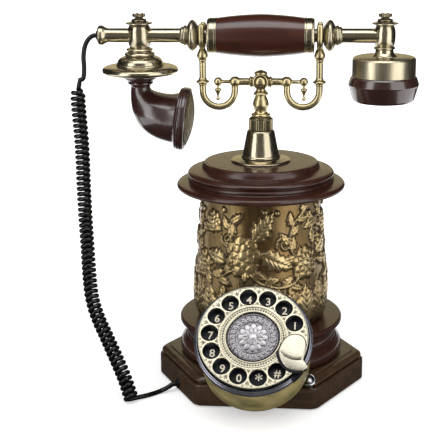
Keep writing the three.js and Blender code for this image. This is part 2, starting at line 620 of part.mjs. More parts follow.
// The middle line of the curly part, from its top end down to the table.
const COIL_SPINE = [
  [-145.4, 0, 240.4], [-146.1, 0, 234], [-145.7, 0, 221], [-144.7, 0, 202], [-144.3, 0, 184], [-144.3, -0.3, 163],
  [-143.6, -1.8, 135], [-141.4, -8, 109], [-138.6, -17.6, 86.5], [-135.4, -25, 72], [-129.6, -32.6, 59], [-121.6, -41, 46.4],
  [-111.8, -51.6, 31], [-104.5, -59.3, 18.4], [-98.6, -65.5, 4.3],
];
const HANDSET_LEAD = [
  [-LEFT_END - 2, 0, HANDSET_Z], [-132.6, 0, 282.4], [-136, 0, 279.6], [-138.8, 0, 274.4], [-140.3, 0, 266],
  [-140.2, 0, 257], [-141.5, 0, 248.4],
];

// Points of the helix: it opens from the middle line in its first turn and lies down in its last.
function helix() {
  const spine = smooth(COIL_SPINE);
  const length = spine.getLength();
  const turns = Math.round(length / CURL_PITCH);
  const count = turns * CURL_STEPS;
  const lastAngle = LEAD_HEADING + Math.PI / 2;
  const side = new THREE.Vector3(1, 0, 0);
  const line = [];
  for (let i = 0; i <= count; i++) {
    const t = i / count;
    const along = spine.getTangentAt(t);
    const u = side.clone().addScaledVector(along, -side.dot(along)).normalize();
    const v = new THREE.Vector3().crossVectors(u, along);
    const angle = lastAngle + ((count - i) * 2 * Math.PI) / CURL_STEPS;
    const open = Math.min(1, i / CURL_STEPS);
    const radius = CURL_RADIUS * Math.sin((open * Math.PI) / 2);
    const point = spine.getPointAt(t);
    point.addScaledVector(u, radius * Math.cos(angle)).addScaledVector(v, radius * Math.sin(angle));
    point.z = Math.max(point.z, WIRE + 0.1);
    line.push(point);
  }
  return line;
}

// Straight for a wire's thickness at each end.
function withEnds(line, first, last) {
  const [top, end] = [line[0].clone(), line.at(-1).clone()];
  return [top.addScaledVector(first, 2 * WIRE), ...line, end.addScaledVector(last, 2 * WIRE)];
}

// A ring of corners at each point, square to the line and turned as little as possible from the ring before.
function wire(line, sides) {
  let across = new THREE.Vector3(0, 1, 0);
  const rings = line.map((point, i) => {
    const along = line[Math.min(i + 1, line.length - 1)].clone().sub(line[Math.max(i - 1, 0)]).normalize();
    across = across.clone().addScaledVector(along, -across.dot(along)).normalize();
    const other = new THREE.Vector3().crossVectors(along, across);
    return circle(WIRE, sides).map((p) => point.clone().addScaledVector(across, p.x).addScaledVector(other, p.y));
  });
  return skin(rings);
}

// The least distance between two stretches of the wire that aren't next to each other, less its thickness.
function leastGap(line) {
  const fine = new THREE.CatmullRomCurve3(line).getPoints(line.length * 2);
  const skip = CURL_STEPS;
  let least = Infinity;
  for (let i = 0; i < fine.length; i++) {
    for (const other of fine.slice(i + skip, i + 6 * skip)) least = Math.min(least, fine[i].distanceTo(other));
  }
  return least - 2 * WIRE;
}

function cord() {
  const curl = helix();
  const heading = new THREE.Vector3(Math.cos(LEAD_HEADING), Math.sin(LEAD_HEADING), 0);
  const up = new THREE.Vector3(0.2, 0, 0.98);
  const coil = withEnds(curl, up, heading);
  console.log("curls " + (curl.length - 1) / CURL_STEPS + ", least gap " + leastGap(coil).toFixed(2) + " mm");
  part("curly_coil", wire(coil, CURL_SIDES), RUBBER);

  const top = coil[0].clone().addScaledVector(up, GAP);
  const above = top.clone().addScaledVector(up, 2 * WIRE);
  const handLine = smooth([...HANDSET_LEAD, above.toArray()]).getSpacedPoints(12);
  part("handset_lead", wire([...handLine, top], LEAD_SIDES), RUBBER);

  const start = coil.at(-1).clone().addScaledVector(heading, GAP);
  const inward = new THREE.Vector3(-Math.cos(ENTRY_TURN), -Math.sin(ENTRY_TURN), 0);
  const mouth = ENTRY.clone().addScaledVector(inward, -1 - GAP);
  const before = (distance, z) => mouth.clone().addScaledVector(inward, -distance).setZ(z);
  const route = [start.clone().addScaledVector(heading, 2 * WIRE), start.clone().addScaledVector(heading, 12)];
  route.push(before(14, 2.2), before(8, 4), before(2 * WIRE, ENTRY.z));
  const tableLine = new THREE.CatmullRomCurve3(route, false, "centripetal").getSpacedPoints(12);
  part("base_lead", wire([start, ...tableLine, mouth], LEAD_SIDES), RUBBER);
}

plinth();
underside();
electronics();
functionButton();
tower();
column();
hookSwitch();
dialHousing();
fingerWheel();
fingerStop();
cradleHub();
cradleSide("left", -1);
cradleSide("right", 1);
grip();
armPieces("left", -1);
armPieces("right", 1);
leftArm();
rightArm();
mouthHorn();
earpiece();
cord();

export default root;
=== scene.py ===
"""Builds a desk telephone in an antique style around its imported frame.

Sizes are in millimetres and are turned into metres where a mesh is made. Only the settings and the
materials are in metres. -Y is the front, +Z is up, and the handset lies along X.
"""

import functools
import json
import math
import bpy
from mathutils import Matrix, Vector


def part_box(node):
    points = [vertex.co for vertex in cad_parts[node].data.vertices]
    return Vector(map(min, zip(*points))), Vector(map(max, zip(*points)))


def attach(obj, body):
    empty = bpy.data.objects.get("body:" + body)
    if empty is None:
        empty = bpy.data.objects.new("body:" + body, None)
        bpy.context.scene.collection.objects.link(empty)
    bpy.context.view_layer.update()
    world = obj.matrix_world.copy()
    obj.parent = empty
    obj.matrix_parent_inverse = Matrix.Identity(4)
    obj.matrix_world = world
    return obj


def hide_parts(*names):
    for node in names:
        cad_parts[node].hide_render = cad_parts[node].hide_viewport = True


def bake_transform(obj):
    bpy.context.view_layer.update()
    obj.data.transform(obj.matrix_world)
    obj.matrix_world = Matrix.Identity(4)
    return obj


bl_info = {
    "name": "Antique Desk Telephone",
    "version": (1, 0, 0),
    "blender": (4, 5, 0),
    "location": "View3D > Sidebar > Telephone",
    "description": "Models the visible pieces of a desk telephone with a rotary dial and a column cradle",
    "category": "Add Mesh",
}

import bmesh
import bpy
import numpy as np
from bpy.props import FloatProperty, FloatVectorProperty, IntProperty, PointerProperty
from mathutils import Matrix, Vector

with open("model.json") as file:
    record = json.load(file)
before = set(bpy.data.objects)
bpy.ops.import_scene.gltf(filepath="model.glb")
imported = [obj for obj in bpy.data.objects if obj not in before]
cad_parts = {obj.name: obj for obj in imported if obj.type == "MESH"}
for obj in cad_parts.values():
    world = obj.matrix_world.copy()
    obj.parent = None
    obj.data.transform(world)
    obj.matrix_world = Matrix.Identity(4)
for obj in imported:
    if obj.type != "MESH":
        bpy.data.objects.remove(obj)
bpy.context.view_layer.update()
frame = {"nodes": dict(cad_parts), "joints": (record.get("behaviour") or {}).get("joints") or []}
MM = 0.001


def span(node):
    """Lowest and highest corner of a frame node, in millimetres."""
    low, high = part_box(node)
    return low / MM, high / MM


def middle(node):
    """The middle of a frame node's box, in millimetres."""
    low, high = span(node)
    return (low + high) / 2


def heights(node):
    """Bottom and top of a frame node, in millimetres."""
    low, high = span(node)
    return low.z, high.z


def joint(name):
    """A joint of the frame, by name."""
    return next(entry for entry in frame["joints"] if entry["name"] == name)


def way_out(name):
    """The direction in which a joint's axis leads out of the telephone."""
    return -Vector(joint(name)["axis"]).normalized()


# ---- Places, from the frame ----------------------------------------------------------------------

PLINTH_BOTTOM, PLINTH_TOP = heights("plinth_shell")
PEDESTAL_TOP = heights("pedestal_moulding")[1]
BARREL_TOP = heights("barrel_shell")[1]
CROWN_TOP = heights("crown_top")[1]
CONE_LOW, CONE_TOP = heights("column_cone")
COLLAR_TOP = heights("knurled_collar")[1]
CRADLE_BOTTOM, CRADLE_TOP = heights("cradle_baluster")
POST_X = middle("right_fork").x
POST_TOP, FORK_TIP = heights("right_fork")
HANDSET_Z = middle("wood_grip").z
GRIP_HALF = span("wood_grip")[1].x
SOCKET_X = middle("right_socket").x
ARM_TUBE_START = span("right_bead")[1].x
LEFT_END = -span("left_arm_tube")[0].x

DIAL_OUT = way_out("dial_spin")
DIAL_AXES = Matrix((Vector((1, 0, 0)), DIAL_OUT.cross(Vector((1, 0, 0))), DIAL_OUT)).transposed()
DIAL = Matrix.Translation(joint("dial_spin")["pos_m"]) @ DIAL_AXES.to_4x4()
BUTTON_OUT = way_out("button_press")

# ---- Places and sizes that the pieces share ------------------------------------------------------

# The cradle's arms: their height, and the ball from which each hook hangs.
ARM_Z = 247.0
BALL_X = 20.5

# Where the push button's ring sits on the plinth.
BUTTON_SEAT = Vector((41.1, -64.0, 23.4))

# Where the cord goes into the plinth, the way out of it there, and the way the lead takes on the table.
ENTRY = Vector((-64.92, -37.13, 6.0))
ENTRY_OUT = Vector((-0.8737, -0.4865, 0))
LEAD_HEADING = math.radians(34.4)

# The plinth's corners at the sides and at the front, and its reach from which the mouldings step in.
PLINTH_SIDE_X = 85.6
PLINTH_FRONT_X = 47.4
PLINTH_FRONT_Y = 68.6
PLINTH_REACH = 71.0

# The dial: its finger holes, its wheel and its medallion.
HOLE_RADIUS = 6.5
HOLE_CIRCLE = 32.9
HOLE_FIRST = math.radians(21.2)
HOLE_STEP = math.radians(25.8)
DIGITS = "1234567890*#"
WHEEL_RADIUS = 41.6
WHEEL_BACK = 4.6
WHEEL_FACE = 7.0
WHEEL_GROUND = WHEEL_FACE - 0.35
MEDALLION_RADIUS = 19.4
MEDALLION_FACE = 5.6

# The horn's rim, turned out of the upright.
RIM_PLACE = Matrix.Translation(Vector((-66.5, 0, 217.7)) * MM) @ Matrix.Rotation(math.radians(97.3), 4, "Y")

# The handset: the top of its upright sockets above its middle, and its two sides.
SOCKET_TOP = 11.2
SIDES = (("left", -1), ("right", 1))

# The bore of the bushes that the cord goes through.
CORD_HOLE = 1.95

# Corners nearer than this are one, in metres: in swept pieces and in turned ones.
MERGE = 0.000002
MERGE_TURNED = 0.00001

# Edges of turned pieces that are sharper than this angle in degrees stay sharp.
TURNED_EDGE = 32

# ---- Settings that a user would change -----------------------------------------------------------


def counted(name, description, value):
    return IntProperty(name=name, description=description, default=value)


def measured(name, description, value):
    return FloatProperty(name=name, description=description, default=value, unit="LENGTH")


def colour(name, description, value):
    look = {"size": 3, "subtype": "COLOR", "min": 0, "max": 1}
    return FloatVectorProperty(name=name, description=description, default=value, **look)


class TELEPHONE_PG_shape(bpy.types.PropertyGroup):
    turning_sides: counted("Turning Sides", "Sides of the widest turned pieces", 144)
    relief_height: measured("Relief Height", "How far the leaves stand out of the barrel", 0.0026)
    relief_sides: counted("Relief Sides", "Columns of the barrel's surface", 500)
    wheel_beads: counted("Wheel Beads", "Beads round the middle of the finger wheel", 70)
    rosette_petals: counted("Rosette Petals", "Petals of the medallion's rosette", 12)
    digit_size: measured("Digit Size", "Height of the digits under the finger holes", 0.0086)
    collar_ribs: counted("Collar Ribs", "Ribs round the knurled collar", 36)
    cord_diameter: measured("Cord Diameter", "Thickness of the cord", 0.0038)
    curl_radius: measured("Curl Radius", "Radius of the curls to the cord's middle", 0.0043)


class TELEPHONE_PG_finish(bpy.types.PropertyGroup):
    brass: colour("Brass", "Polished face of the brass", (0.50, 0.442, 0.315))
    patina: colour("Patina", "Brown that stays in the brass's recesses", (0.030, 0.022, 0.014))
    wood: colour("Wood", "Ground colour of the stained wood", (0.047, 0.014, 0.008))
    wood_vein: colour("Wood Vein", "Colour of the grain in the wood", (0.020, 0.006, 0.004))
    horn: colour("Horn", "Moulded mouthpiece and ear cap", (0.030, 0.009, 0.007))
    gold: colour("Relief Gold", "Raised face of the barrel's relief", (0.45, 0.33, 0.155))
    wash: colour("Relief Wash", "Dark wash in the barrel's recesses", (0.018, 0.010, 0.005))
    ring: colour("Dial Ring", "Ring round the dial", (0.20, 0.20, 0.235))
    silver: colour("Medallion", "Face of the dial's medallion", (0.41, 0.395, 0.41))
    digits: colour("Digits", "Paint of the digits", (0.86, 0.78, 0.62))
    cord: colour("Cord", "Jacket of the cord", (0.005, 0.005, 0.0055))


# ---- Modelling by hand ---------------------------------------------------------------------------


def deselect():
    """Deselects every piece, out of edit mode."""
    if bpy.context.object and bpy.context.object.mode != "OBJECT":
        bpy.ops.object.mode_set(mode="OBJECT")
    bpy.ops.object.select_all(action="DESELECT")


def alone(made):
    """Makes a piece the active one and the only one selected."""
    deselect()
    made.select_set(True)
    bpy.context.view_layer.objects.active = made


def named(name):
    """Names the active piece and its mesh."""
    made = bpy.context.object
    made.name = name
    made.data.name = name
    return made


def edit(mode="VERT"):
    """Goes into edit mode, where corners or faces are picked."""
    bpy.ops.object.mode_set(mode="EDIT")
    bpy.ops.mesh.select_mode(type=mode)


def sealed(merge=None):
    """Merges doubled corners if asked, points all faces outwards and leaves edit mode."""
    bpy.ops.mesh.select_all(action="SELECT")
    if merge:
        bpy.ops.mesh.remove_doubles(threshold=merge)
    bpy.ops.mesh.normals_make_consistent(inside=False)
    bpy.ops.object.mode_set(mode="OBJECT")


def select_where(made, chosen, kind="verts"):
    """Selects the corners, edges or faces for which chosen(element) is true. The piece is in edit mode."""
    bpy.ops.mesh.select_all(action="DESELECT")
    shape = bmesh.from_edit_mesh(made.data)
    for element in getattr(shape, kind):
        if chosen(element):
            element.select_set(True)
    shape.select_flush_mode()
    bmesh.update_edit_mesh(made.data)


def placed(made, place):
    """Moves a piece to its place and puts the place in its mesh."""
    alone(made)
    made.matrix_world = place
    bpy.ops.object.transform_apply(location=True, rotation=True, scale=True)
    return made


def smoothed(made, degrees):
    """Shades a piece smooth, with edges sharper than the angle kept."""
    alone(made)
    bpy.ops.object.shade_smooth_by_angle(angle=math.radians(degrees))
    return made


def joined(name, pieces):
    """Makes one named piece of several."""
    deselect()
    for item in pieces:
        item.select_set(True)
    bpy.context.view_layer.objects.active = pieces[0]
    bpy.ops.object.join()
    return named(name)


def copied(made, place):
    """A copy with its own mesh, moved by a matrix."""
    alone(made)
    bpy.ops.object.duplicate(linked=False)
    return placed(bpy.context.object, place)


def ring_of(made, angles):
    """Copies of a piece turned by these angles about the Z axis, in place of the piece itself."""
    copies = [copied(made, Matrix.Rotation(angle, 4, "Z")) for angle in angles]
    bpy.data.objects.remove(made)
    return copies


def applied(made, kind, **settings):
    """Adds a modifier with these settings and applies it."""
    alone(made)
    modifier = made.modifiers.new(kind.title(), kind)
    for key, value in settings.items():
        setattr(modifier, key, value)
    bpy.ops.object.modifier_apply(modifier=modifier.name)
    return made


def bow(*points, steps=6):
    """A smooth stretch of an outline through the points."""
    knots = [Vector(p) for p in points]
    knots = [2 * knots[0] - knots[1], *knots, 2 * knots[-1] - knots[-2]]
    line = []
    for a, b, c, d in zip(knots, knots[1:], knots[2:], knots[3:]):
        square, cube = 2 * a - 5 * b + 4 * c - d, 3 * b - a - 3 * c + d
        for i in range(steps):
            t = i / steps
            line.append((2 * b + (c - a) * t + square * t**2 + cube * t**3) / 2)
    line.append(knots[-2])
    return [tuple(p) for p in line]


def rounded(corners, steps=4):
    """The outline with each corner that has a third number rounded by that radius."""
    line = []
    for i, corner in enumerate(corners):
        here = Vector(corner[:2])
        if len(corner) < 3 or i in (0, len(corners) - 1):
            line.append(here)
            continue
        back = Vector(corners[i - 1][:2]) - here
        on = Vector(corners[i + 1][:2]) - here
        half = back.angle(on) / 2
        reach = min(corner[2] / math.tan(half), 0.48 * back.length, 0.48 * on.length)
        start, end = here + back.normalized() * reach, here + on.normalized() * reach
        for k in range(steps + 1):
            t = k / steps
            line.append(start * (1 - t) ** 2 + here * 2 * t * (1 - t) + end * t**2)
    return line


def point_in_edit(name, x, z):
    """A new piece in edit mode that is a single corner, at this place in millimetres."""
    deselect()
    bpy.ops.mesh.primitive_plane_add(size=MM)
    made = named(name)
    edit()
    bpy.ops.mesh.merge(type="CENTER")
    bpy.ops.transform.translate(value=(x * MM, 0, z * MM))
    return made


def turned(name, outline, sides, place=Matrix()):
    """A piece turned about its own Z from an outline of (radius, height), placed by a matrix."""
    line = rounded(outline)
    if line[0].x > 0.01:
        line.append(line[0])
    made = point_in_edit(name, line[0].x, line[0].y)
    for before, after in zip(line, line[1:]):
        step = (after - before) * MM
        bpy.ops.mesh.extrude_vertices_move(TRANSFORM_OT_translate={"value": (step.x, 0, step.y)})
    bpy.ops.mesh.select_all(action="SELECT")
    bpy.ops.mesh.spin(steps=sides, angle=2 * math.pi, center=(0, 0, 0), axis=(0, 0, 1))
    sealed(MERGE_TURNED)
    return smoothed(placed(made, place), TURNED_EDGE)


def new_spline(name, kind):
    """A new curve with one empty spline; returns the curve and its spline."""
    deselect()
    bpy.ops.curve.primitive_bezier_curve_add()
    curve = named(name).data
    curve.splines.clear()
    curve.dimensions = "3D"
    curve.use_fill_caps = True
    return curve, curve.splines.new(kind)


def swept(name, curve, radius, resolution, smooth):
    """Gives the active curve its thickness and makes it a closed mesh."""
    curve.bevel_depth = radius * MM
    curve.bevel_resolution = resolution
    bpy.ops.object.convert(target="MESH")
    made = named(name)
    edit()
    sealed(MERGE)
    return smoothed(made, smooth)


def bar(name, points, radius, sides=24, rounding=6):
    """A round bar along a smooth line through the points; the radius may be a list, one for each point."""
    radii = radius if isinstance(radius, (list, tuple)) else [radius] * len(points)
    curve, spline = new_spline(name, "BEZIER")
    spline.bezier_points.add(len(points) - 1)
    for knot, point, size in zip(spline.bezier_points, points, radii):
        knot.co = Vector(point) * MM
        knot.radius = size / max(radii)
        knot.handle_left_type = knot.handle_right_type = "AUTO"
    curve.resolution_u = rounding
    return swept(name, curve, max(radii), sides // 2 - 1, 50)


def tube(name, points, radius, sides):
    """A round wire straight from point to point, for lines that already have many points."""
    curve, spline = new_spline(name, "POLY")
    spline.points.add(len(points) - 1)
    for knot, point in zip(spline.points, points):
        knot.co = (*(Vector(point) * MM), 1)
    return swept(name, curve, radius, sides // 2 - 2, 60)


def lofted(name, rings, sides):
    """A round skin through rings, each given by the matrix that puts a circle of radius 1 in its place."""
    deselect()
    bpy.ops.mesh.primitive_circle_add(vertices=sides, radius=1)
    made = named(name)
    edit()
    bpy.ops.mesh.select_all(action="SELECT")
    shape = bmesh.from_edit_mesh(made.data)
    bmesh.ops.transform(shape, matrix=rings[0], verts=shape.verts)
    for before, after in zip(rings, rings[1:]):
        bpy.ops.mesh.extrude_edges_move(TRANSFORM_OT_translate={"value": (0, 0, 0)})
        shape = bmesh.from_edit_mesh(made.data)
        moved = [v for v in shape.verts if v.select]
        bmesh.ops.transform(shape, matrix=after @ before.inverted(), verts=moved)
    bmesh.update_edit_mesh(made.data)
    sealed()
    return smoothed(made, 50)


def at(x=0.0, y=0.0, z=0.0, turn=0.0, axis="Y"):
    """A place in millimetres, turned in degrees about one axis."""
    return Matrix.Translation(Vector((x, y, z)) * MM) @ Matrix.Rotation(math.radians(turn), 4, axis)


def towards(side):
    """Lays a turned piece along the handset, its outline's height running outwards on that side."""
    return at(0, 0, HANDSET_Z, 90 * side)


def on_circle(radius, degrees):
    """A point on a circle about the origin."""
    return radius * math.cos(math.radians(degrees)), radius * math.sin(math.radians(degrees))


def seen_from(place, corners):
    """Corners in millimetres as they lie in the space of a place, in millimetres."""
    local = np.c_[corners * MM, np.ones(len(corners))] @ np.array(place.inverted()).T
    return local[:, :3] / MM


# ---- Carving -------------------------------------------------------------------------------------


def dome(away):
    """Height of a half ball: 1 in its middle, 0 from a distance of 1 on."""
    return np.sqrt(np.clip(1 - away**2, 0, 1))


class Carving:
    """Heights from 0 to 1 on a sheet. Each motif is laid over what is there. A sheet may wrap round."""

    def __init__(self, x, y, wrap=None):
        self.x, self.y, self.wrap = x, y, wrap
        self.height = np.zeros_like(x)

    def local(self, centre, angle=0.0):
        """The sheet's coordinates about a centre, turned by an angle."""
        dx = self.x - centre[0]
        dy = self.y - centre[1]
        if self.wrap:
            dx = (dx + self.wrap / 2) % self.wrap - self.wrap / 2
        turn = math.radians(angle)
        return dx * math.cos(turn) + dy * math.sin(turn), dy * math.cos(turn) - dx * math.sin(turn)

    def lay(self, inside, height):
        """Puts a height wherever inside is true."""
        self.height = np.where(inside, height, self.height)

    def leaf(self, root, angle, length, width, top=1.0, lobes=4, bend=0.0):
        """A pointed leaf from its root, with a middle vein, side veins and a lobed edge."""
        x, y = self.local(root, angle)
        along = np.clip(x / length, 0, 1)
        y = y - bend * length * along**2
        half = width / 2 * np.sin(np.pi * along**0.72) * (1 + 0.16 * np.cos(2 * np.pi * lobes * along))
        inside = (x > 0) & (x < length) & (np.abs(y) < half)
        edge = np.clip(np.abs(y) / np.maximum(half, 1e-6), 0, 1)
        swell = dome(edge) * (0.6 + 0.4 * np.sin(np.pi * along))
        vein = np.exp(-((y / (0.06 * width)) ** 2))
        side = np.cos(2 * np.pi * (x - 1.3 * np.abs(y)) * lobes * 1.6 / length)
        self.lay(inside, top * (0.28 + 0.62 * swell - 0.24 * vein + 0.09 * side * dome(edge)))

    def blossom(self, centre, radius, petals, top=1.0, turn=0.0):
        """A flower seen from above: two rows of petals round a beaded eye."""
        x, y = self.local(centre)
        out = np.hypot(x, y) / radius
        angle = np.arctan2(y, x) + math.radians(turn)
        for size, shift in ((1.0, 0.0), (0.66, math.pi / petals)):
            wave = np.abs(np.cos((angle + shift) * petals / 2))
            edge = size * (0.74 + 0.26 * wave**0.5)
            rise = np.sin(np.pi * np.clip(out / edge, 0, 1) ** 0.9)
            crease = 0.12 * np.cos((angle + shift) * petals * 3) * rise * 0.6
            swell = 0.5 * rise**0.6 * (0.35 + 0.65 * wave**0.7)
            self.lay(out < edge, top * (0.3 + swell + crease + 0.12 * (1 - size)))
        eye = 0.24
        self.lay(out < eye, top * (0.45 + 0.5 * dome(out / eye)))
        beads = (out > eye) & (out < eye + 0.1)
        self.lay(beads, top * (0.45 + 0.4 * np.abs(np.cos(angle * 9))))

    def vine(self, points, thickness, top=0.8, taper=0.4):
        """A rounded stem along a smooth line through the points."""
        line = bow(*points, steps=8)
        for i, (a, b) in enumerate(zip(line, line[1:])):
            half = thickness / 2 * (1 - (1 - taper) * i / len(line))
            x, y = self.local(a)
            run = np.array((b[0] - a[0], b[1] - a[1]))
            t = np.clip((x * run[0] + y * run[1]) / max(run @ run, 1e-9), 0, 1)
            away = np.hypot(x - t * run[0], y - t * run[1]) / half
            self.lay(away < 1, top * (0.3 + 0.7 * dome(away)))

    def spiral(self, centre, radius, turns, start, thickness, top=0.8, hand=1):
        """A tendril that winds in to its centre and ends in a bead."""
        steps = int(10 * turns)
        line = []
        for i in range(steps + 1):
            t = i / steps
            angle = math.radians(start) + hand * t * turns * 2 * math.pi
            size = radius * (1 - 0.82 * t)
            line.append((centre[0] + size * math.cos(angle), centre[1] + size * math.sin(angle)))
        self.vine(line, thickness, top, taper=0.8)
        self.ball(line[-1], thickness * 0.9, top)

    def ball(self, centre, radius, top=0.9):
        away = np.hypot(*self.local(centre)) / radius
        self.lay(away < 1, top * (0.3 + 0.7 * dome(away)))

    def ring(self, inner, outer, top):
        """A rounded ring about the sheet's origin."""
        away = np.abs(np.hypot(self.x, self.y) - (inner + outer) / 2) / ((outer - inner) / 2)
        self.lay(away < 1, top * (0.25 + 0.75 * dome(away)))


def carve(made, carving_of, strength, nudges=()):
    """Raises a piece's surface along its normals by the heights that carving_of gives for its corners.

    The "shade" attribute marks what lies low beside a high form, as seen from these small moves.
    """
    mesh = made.data
    corners = np.empty(len(mesh.vertices) * 3)
    mesh.vertices.foreach_get("co", corners)
    corners = corners.reshape(-1, 3) / MM
    height = np.clip(carving_of(corners), 0, 1)
    beside = height.copy()
    for nudge in nudges:
        moved = np.c_[corners, np.ones(len(corners))] @ np.array(nudge).T
        beside = np.maximum(beside, np.clip(carving_of(moved[:, :3]), 0, 1))
    group = made.vertex_groups.new(name="raised")
    for index in np.nonzero(height > 0)[0]:
        group.add([int(index)], float(height[index]), "REPLACE")
    for name, values in (("carving", height), ("shade", beside - height)):
        mesh.attributes.new(name, "FLOAT", "POINT").data.foreach_set("value", values)
    applied(made, "DISPLACE", vertex_group=group.name, strength=strength, mid_level=0.0, direction="NORMAL")
    made.vertex_groups.clear()
    return made


# ---- Shader nodes --------------------------------------------------------------------------------


def feed(tree, node, inputs):
    """Links or sets a node's inputs, by name or number."""
    for key, value in inputs.items():
        if isinstance(value, bpy.types.NodeSocket):
            tree.links.new(value, node.inputs[key])
        else:
            node.inputs[key].default_value = value


def add(tree, kind, inputs=None, **settings):
    """Adds a node, sets its properties, and links or sets its inputs."""
    node = tree.nodes.new(kind)
    for key, value in settings.items():
        setattr(node, key, value)
    feed(tree, node, inputs or {})
    return node


def mix_colour(tree, factor, first, second):
    return add(tree, "ShaderNodeMix", {0: factor, 6: first, 7: second}, data_type="RGBA").outputs[2]


def math_node(tree, operation, first, second=0.0, clamp=False):
    inputs = {0: first, 1: second}
    return add(tree, "ShaderNodeMath", inputs, operation=operation, use_clamp=clamp).outputs[0]


def ramp(tree, value, low, high, low_out=0.0, high_out=1.0):
    """A value brought from one range into another, and kept in it."""
    inputs = {"Value": value, "From Min": low, "From Max": high, "To Min": low_out, "To Max": high_out}
    return add(tree, "ShaderNodeMapRange", inputs, clamp=True).outputs["Result"]


def object_place(tree, scale=(1, 1, 1)):
    """The piece's own coordinates, stretched."""
    where = add(tree, "ShaderNodeTexCoord").outputs["Object"]
    return add(tree, "ShaderNodeMapping", {"Vector": where, "Scale": scale}).outputs[0]


def noise(tree, scale, detail, place=None, **more):
    """The values of a noise texture, on the piece's own coordinates if no others are given."""
    vector = object_place(tree) if place is None else place
    inputs = {"Vector": vector, "Scale": scale, "Detail": detail, **more}
    return add(tree, "ShaderNodeTexNoise", inputs).outputs["Fac"]


def bumped(tree, height, strength, distance):
    """A normal that follows a height."""
    inputs = {"Strength": strength, "Distance": distance, "Height": height}
    return add(tree, "ShaderNodeBump", inputs).outputs["Normal"]


def attribute(tree, name):
    return add(tree, "ShaderNodeAttribute", attribute_name=name).outputs["Fac"]


def opaque(rgb):
    return (*rgb, 1.0)


def toned(rgb, factor):
    """A colour made brighter or darker."""
    return opaque([min(1, channel * factor) for channel in rgb])


# ---- Shader groups -------------------------------------------------------------------------------


def new_group(name, inputs, outputs):
    """A shader node group with named sockets; returns the group, its input node and its output node."""
    group = bpy.data.node_groups.new(name, "ShaderNodeTree")
    for label, value in inputs.items():
        kind = "NodeSocketVector" if isinstance(value, tuple) else "NodeSocketFloat"
        group.interface.new_socket(name=label, in_out="INPUT", socket_type=kind).default_value = value
    for label, kind in outputs.items():
        group.interface.new_socket(name=label, in_out="OUTPUT", socket_type=kind)
    return group, group.nodes.new("NodeGroupInput").outputs, group.nodes.new("NodeGroupOutput")


def recess_group():
    """Masks from ambient occlusion: hollows, which take patina, dark wash, and painted shade in the wood's
    grooves; and outer edges, which take wear on the brass and painted highlights on the relief and the wood.
    """
    group, given, out = new_group(
        "Recess And Edge",
        {"Reach": 0.003, "Spread": 0.35, "Edge Reach": 0.001},
        {"Recess": "NodeSocketFloat", "Edge": "NodeSocketFloat"},
    )
    cloud = noise(group, 260.0, 4.0, add(group, "ShaderNodeTexCoord").outputs["Object"])
    hollow = add(group, "ShaderNodeAmbientOcclusion", {"Distance": given["Reach"]}, samples=8)
    shade = math_node(group, "SUBTRACT", 1.0, hollow.outputs["AO"])
    uneven = math_node(group, "MULTIPLY", given["Spread"], math_node(group, "SUBTRACT", cloud, 0.5))
    reach = {"Distance": given["Edge Reach"]}
    corner = add(group, "ShaderNodeAmbientOcclusion", reach, samples=8, inside=True)
    sharp = math_node(group, "SUBTRACT", 1.0, corner.outputs["AO"])
    recess = math_node(group, "ADD", shade, uneven, clamp=True)
    feed(group, out, {"Recess": recess, "Edge": ramp(group, sharp, 0.35, 0.8)})
    return group


def brushed_group():
    """Fine lines drawn along one direction of the piece."""
    group, given, out = new_group(
        "Brushed Lines",
        {"Vector": (0, 0, 0), "Along": (1, 1, 1), "Depth": 0.1},
        {"Lines": "NodeSocketFloat", "Normal": "NodeSocketVector"},
    )
    inputs = {0: given["Vector"], 1: given["Along"]}
    stretched = add(group, "ShaderNodeVectorMath", inputs, operation="MULTIPLY").outputs[0]
    fine = noise(group, 900.0, 3.0, stretched)
    feed(group, out, {"Lines": fine, "Normal": bumped(group, fine, given["Depth"], 0.00005)})
    return group


def grain_group():
    """Long grain and short pores of a close wood, running along one axis."""
    group, given, out = new_group(
        "Close Wood Grain",
        {"Vector": (0, 0, 0), "Scale": 60.0},
        {"Grain": "NodeSocketFloat", "Pores": "NodeSocketFloat"},
    )
    broad = noise(group, given["Scale"], 5.0, given["Vector"], Distortion=0.6)
    pores = noise(group, math_node(group, "MULTIPLY", given["Scale"], 9.0), 2.0, given["Vector"])
    rings = math_node(group, "SINE", math_node(group, "MULTIPLY", broad, 26.0))
    feed(group, out, {"Grain": ramp(group, rings, -1.0, 1.0), "Pores": ramp(group, pores, 0.56, 0.72)})
    return group


GROUPS = {"Recess And Edge": recess_group, "Brushed Lines": brushed_group, "Close Wood Grain": grain_group}


def placed_group(tree, name, inputs):
    """Places a shader group, made when it is first asked for, and returns its outputs."""
    group = bpy.data.node_groups.get(name) or GROUPS[name]()
    return add(tree, "ShaderNodeGroup", inputs, node_tree=group).outputs


def recess_and_edge(tree, reach, spread, edge_reach):
    inputs = {"Reach": reach, "Spread": spread, "Edge Reach": edge_reach}
    masks = placed_group(tree, "Recess And Edge", inputs)
    return masks["Recess"], masks["Edge"]


def rubbed(tree, edge, amount, tone, edge_tone):
    """The tone, with some of a lighter edge tone where the edge mask says so: wear on the brass, painted
    highlights on the relief and the wood.
    """
    return mix_colour(tree, math_node(tree, "MULTIPLY", edge, amount), tone, edge_tone)


# ---- Materials -----------------------------------------------------------------------------------


def new_material(name):
    """A material with only its shader; returns the material, its tree and the shader."""
    material = bpy.data.materials.new(name)
    material.use_nodes = True
    tree = material.node_tree
    return material, tree, tree.nodes["Principled BSDF"]


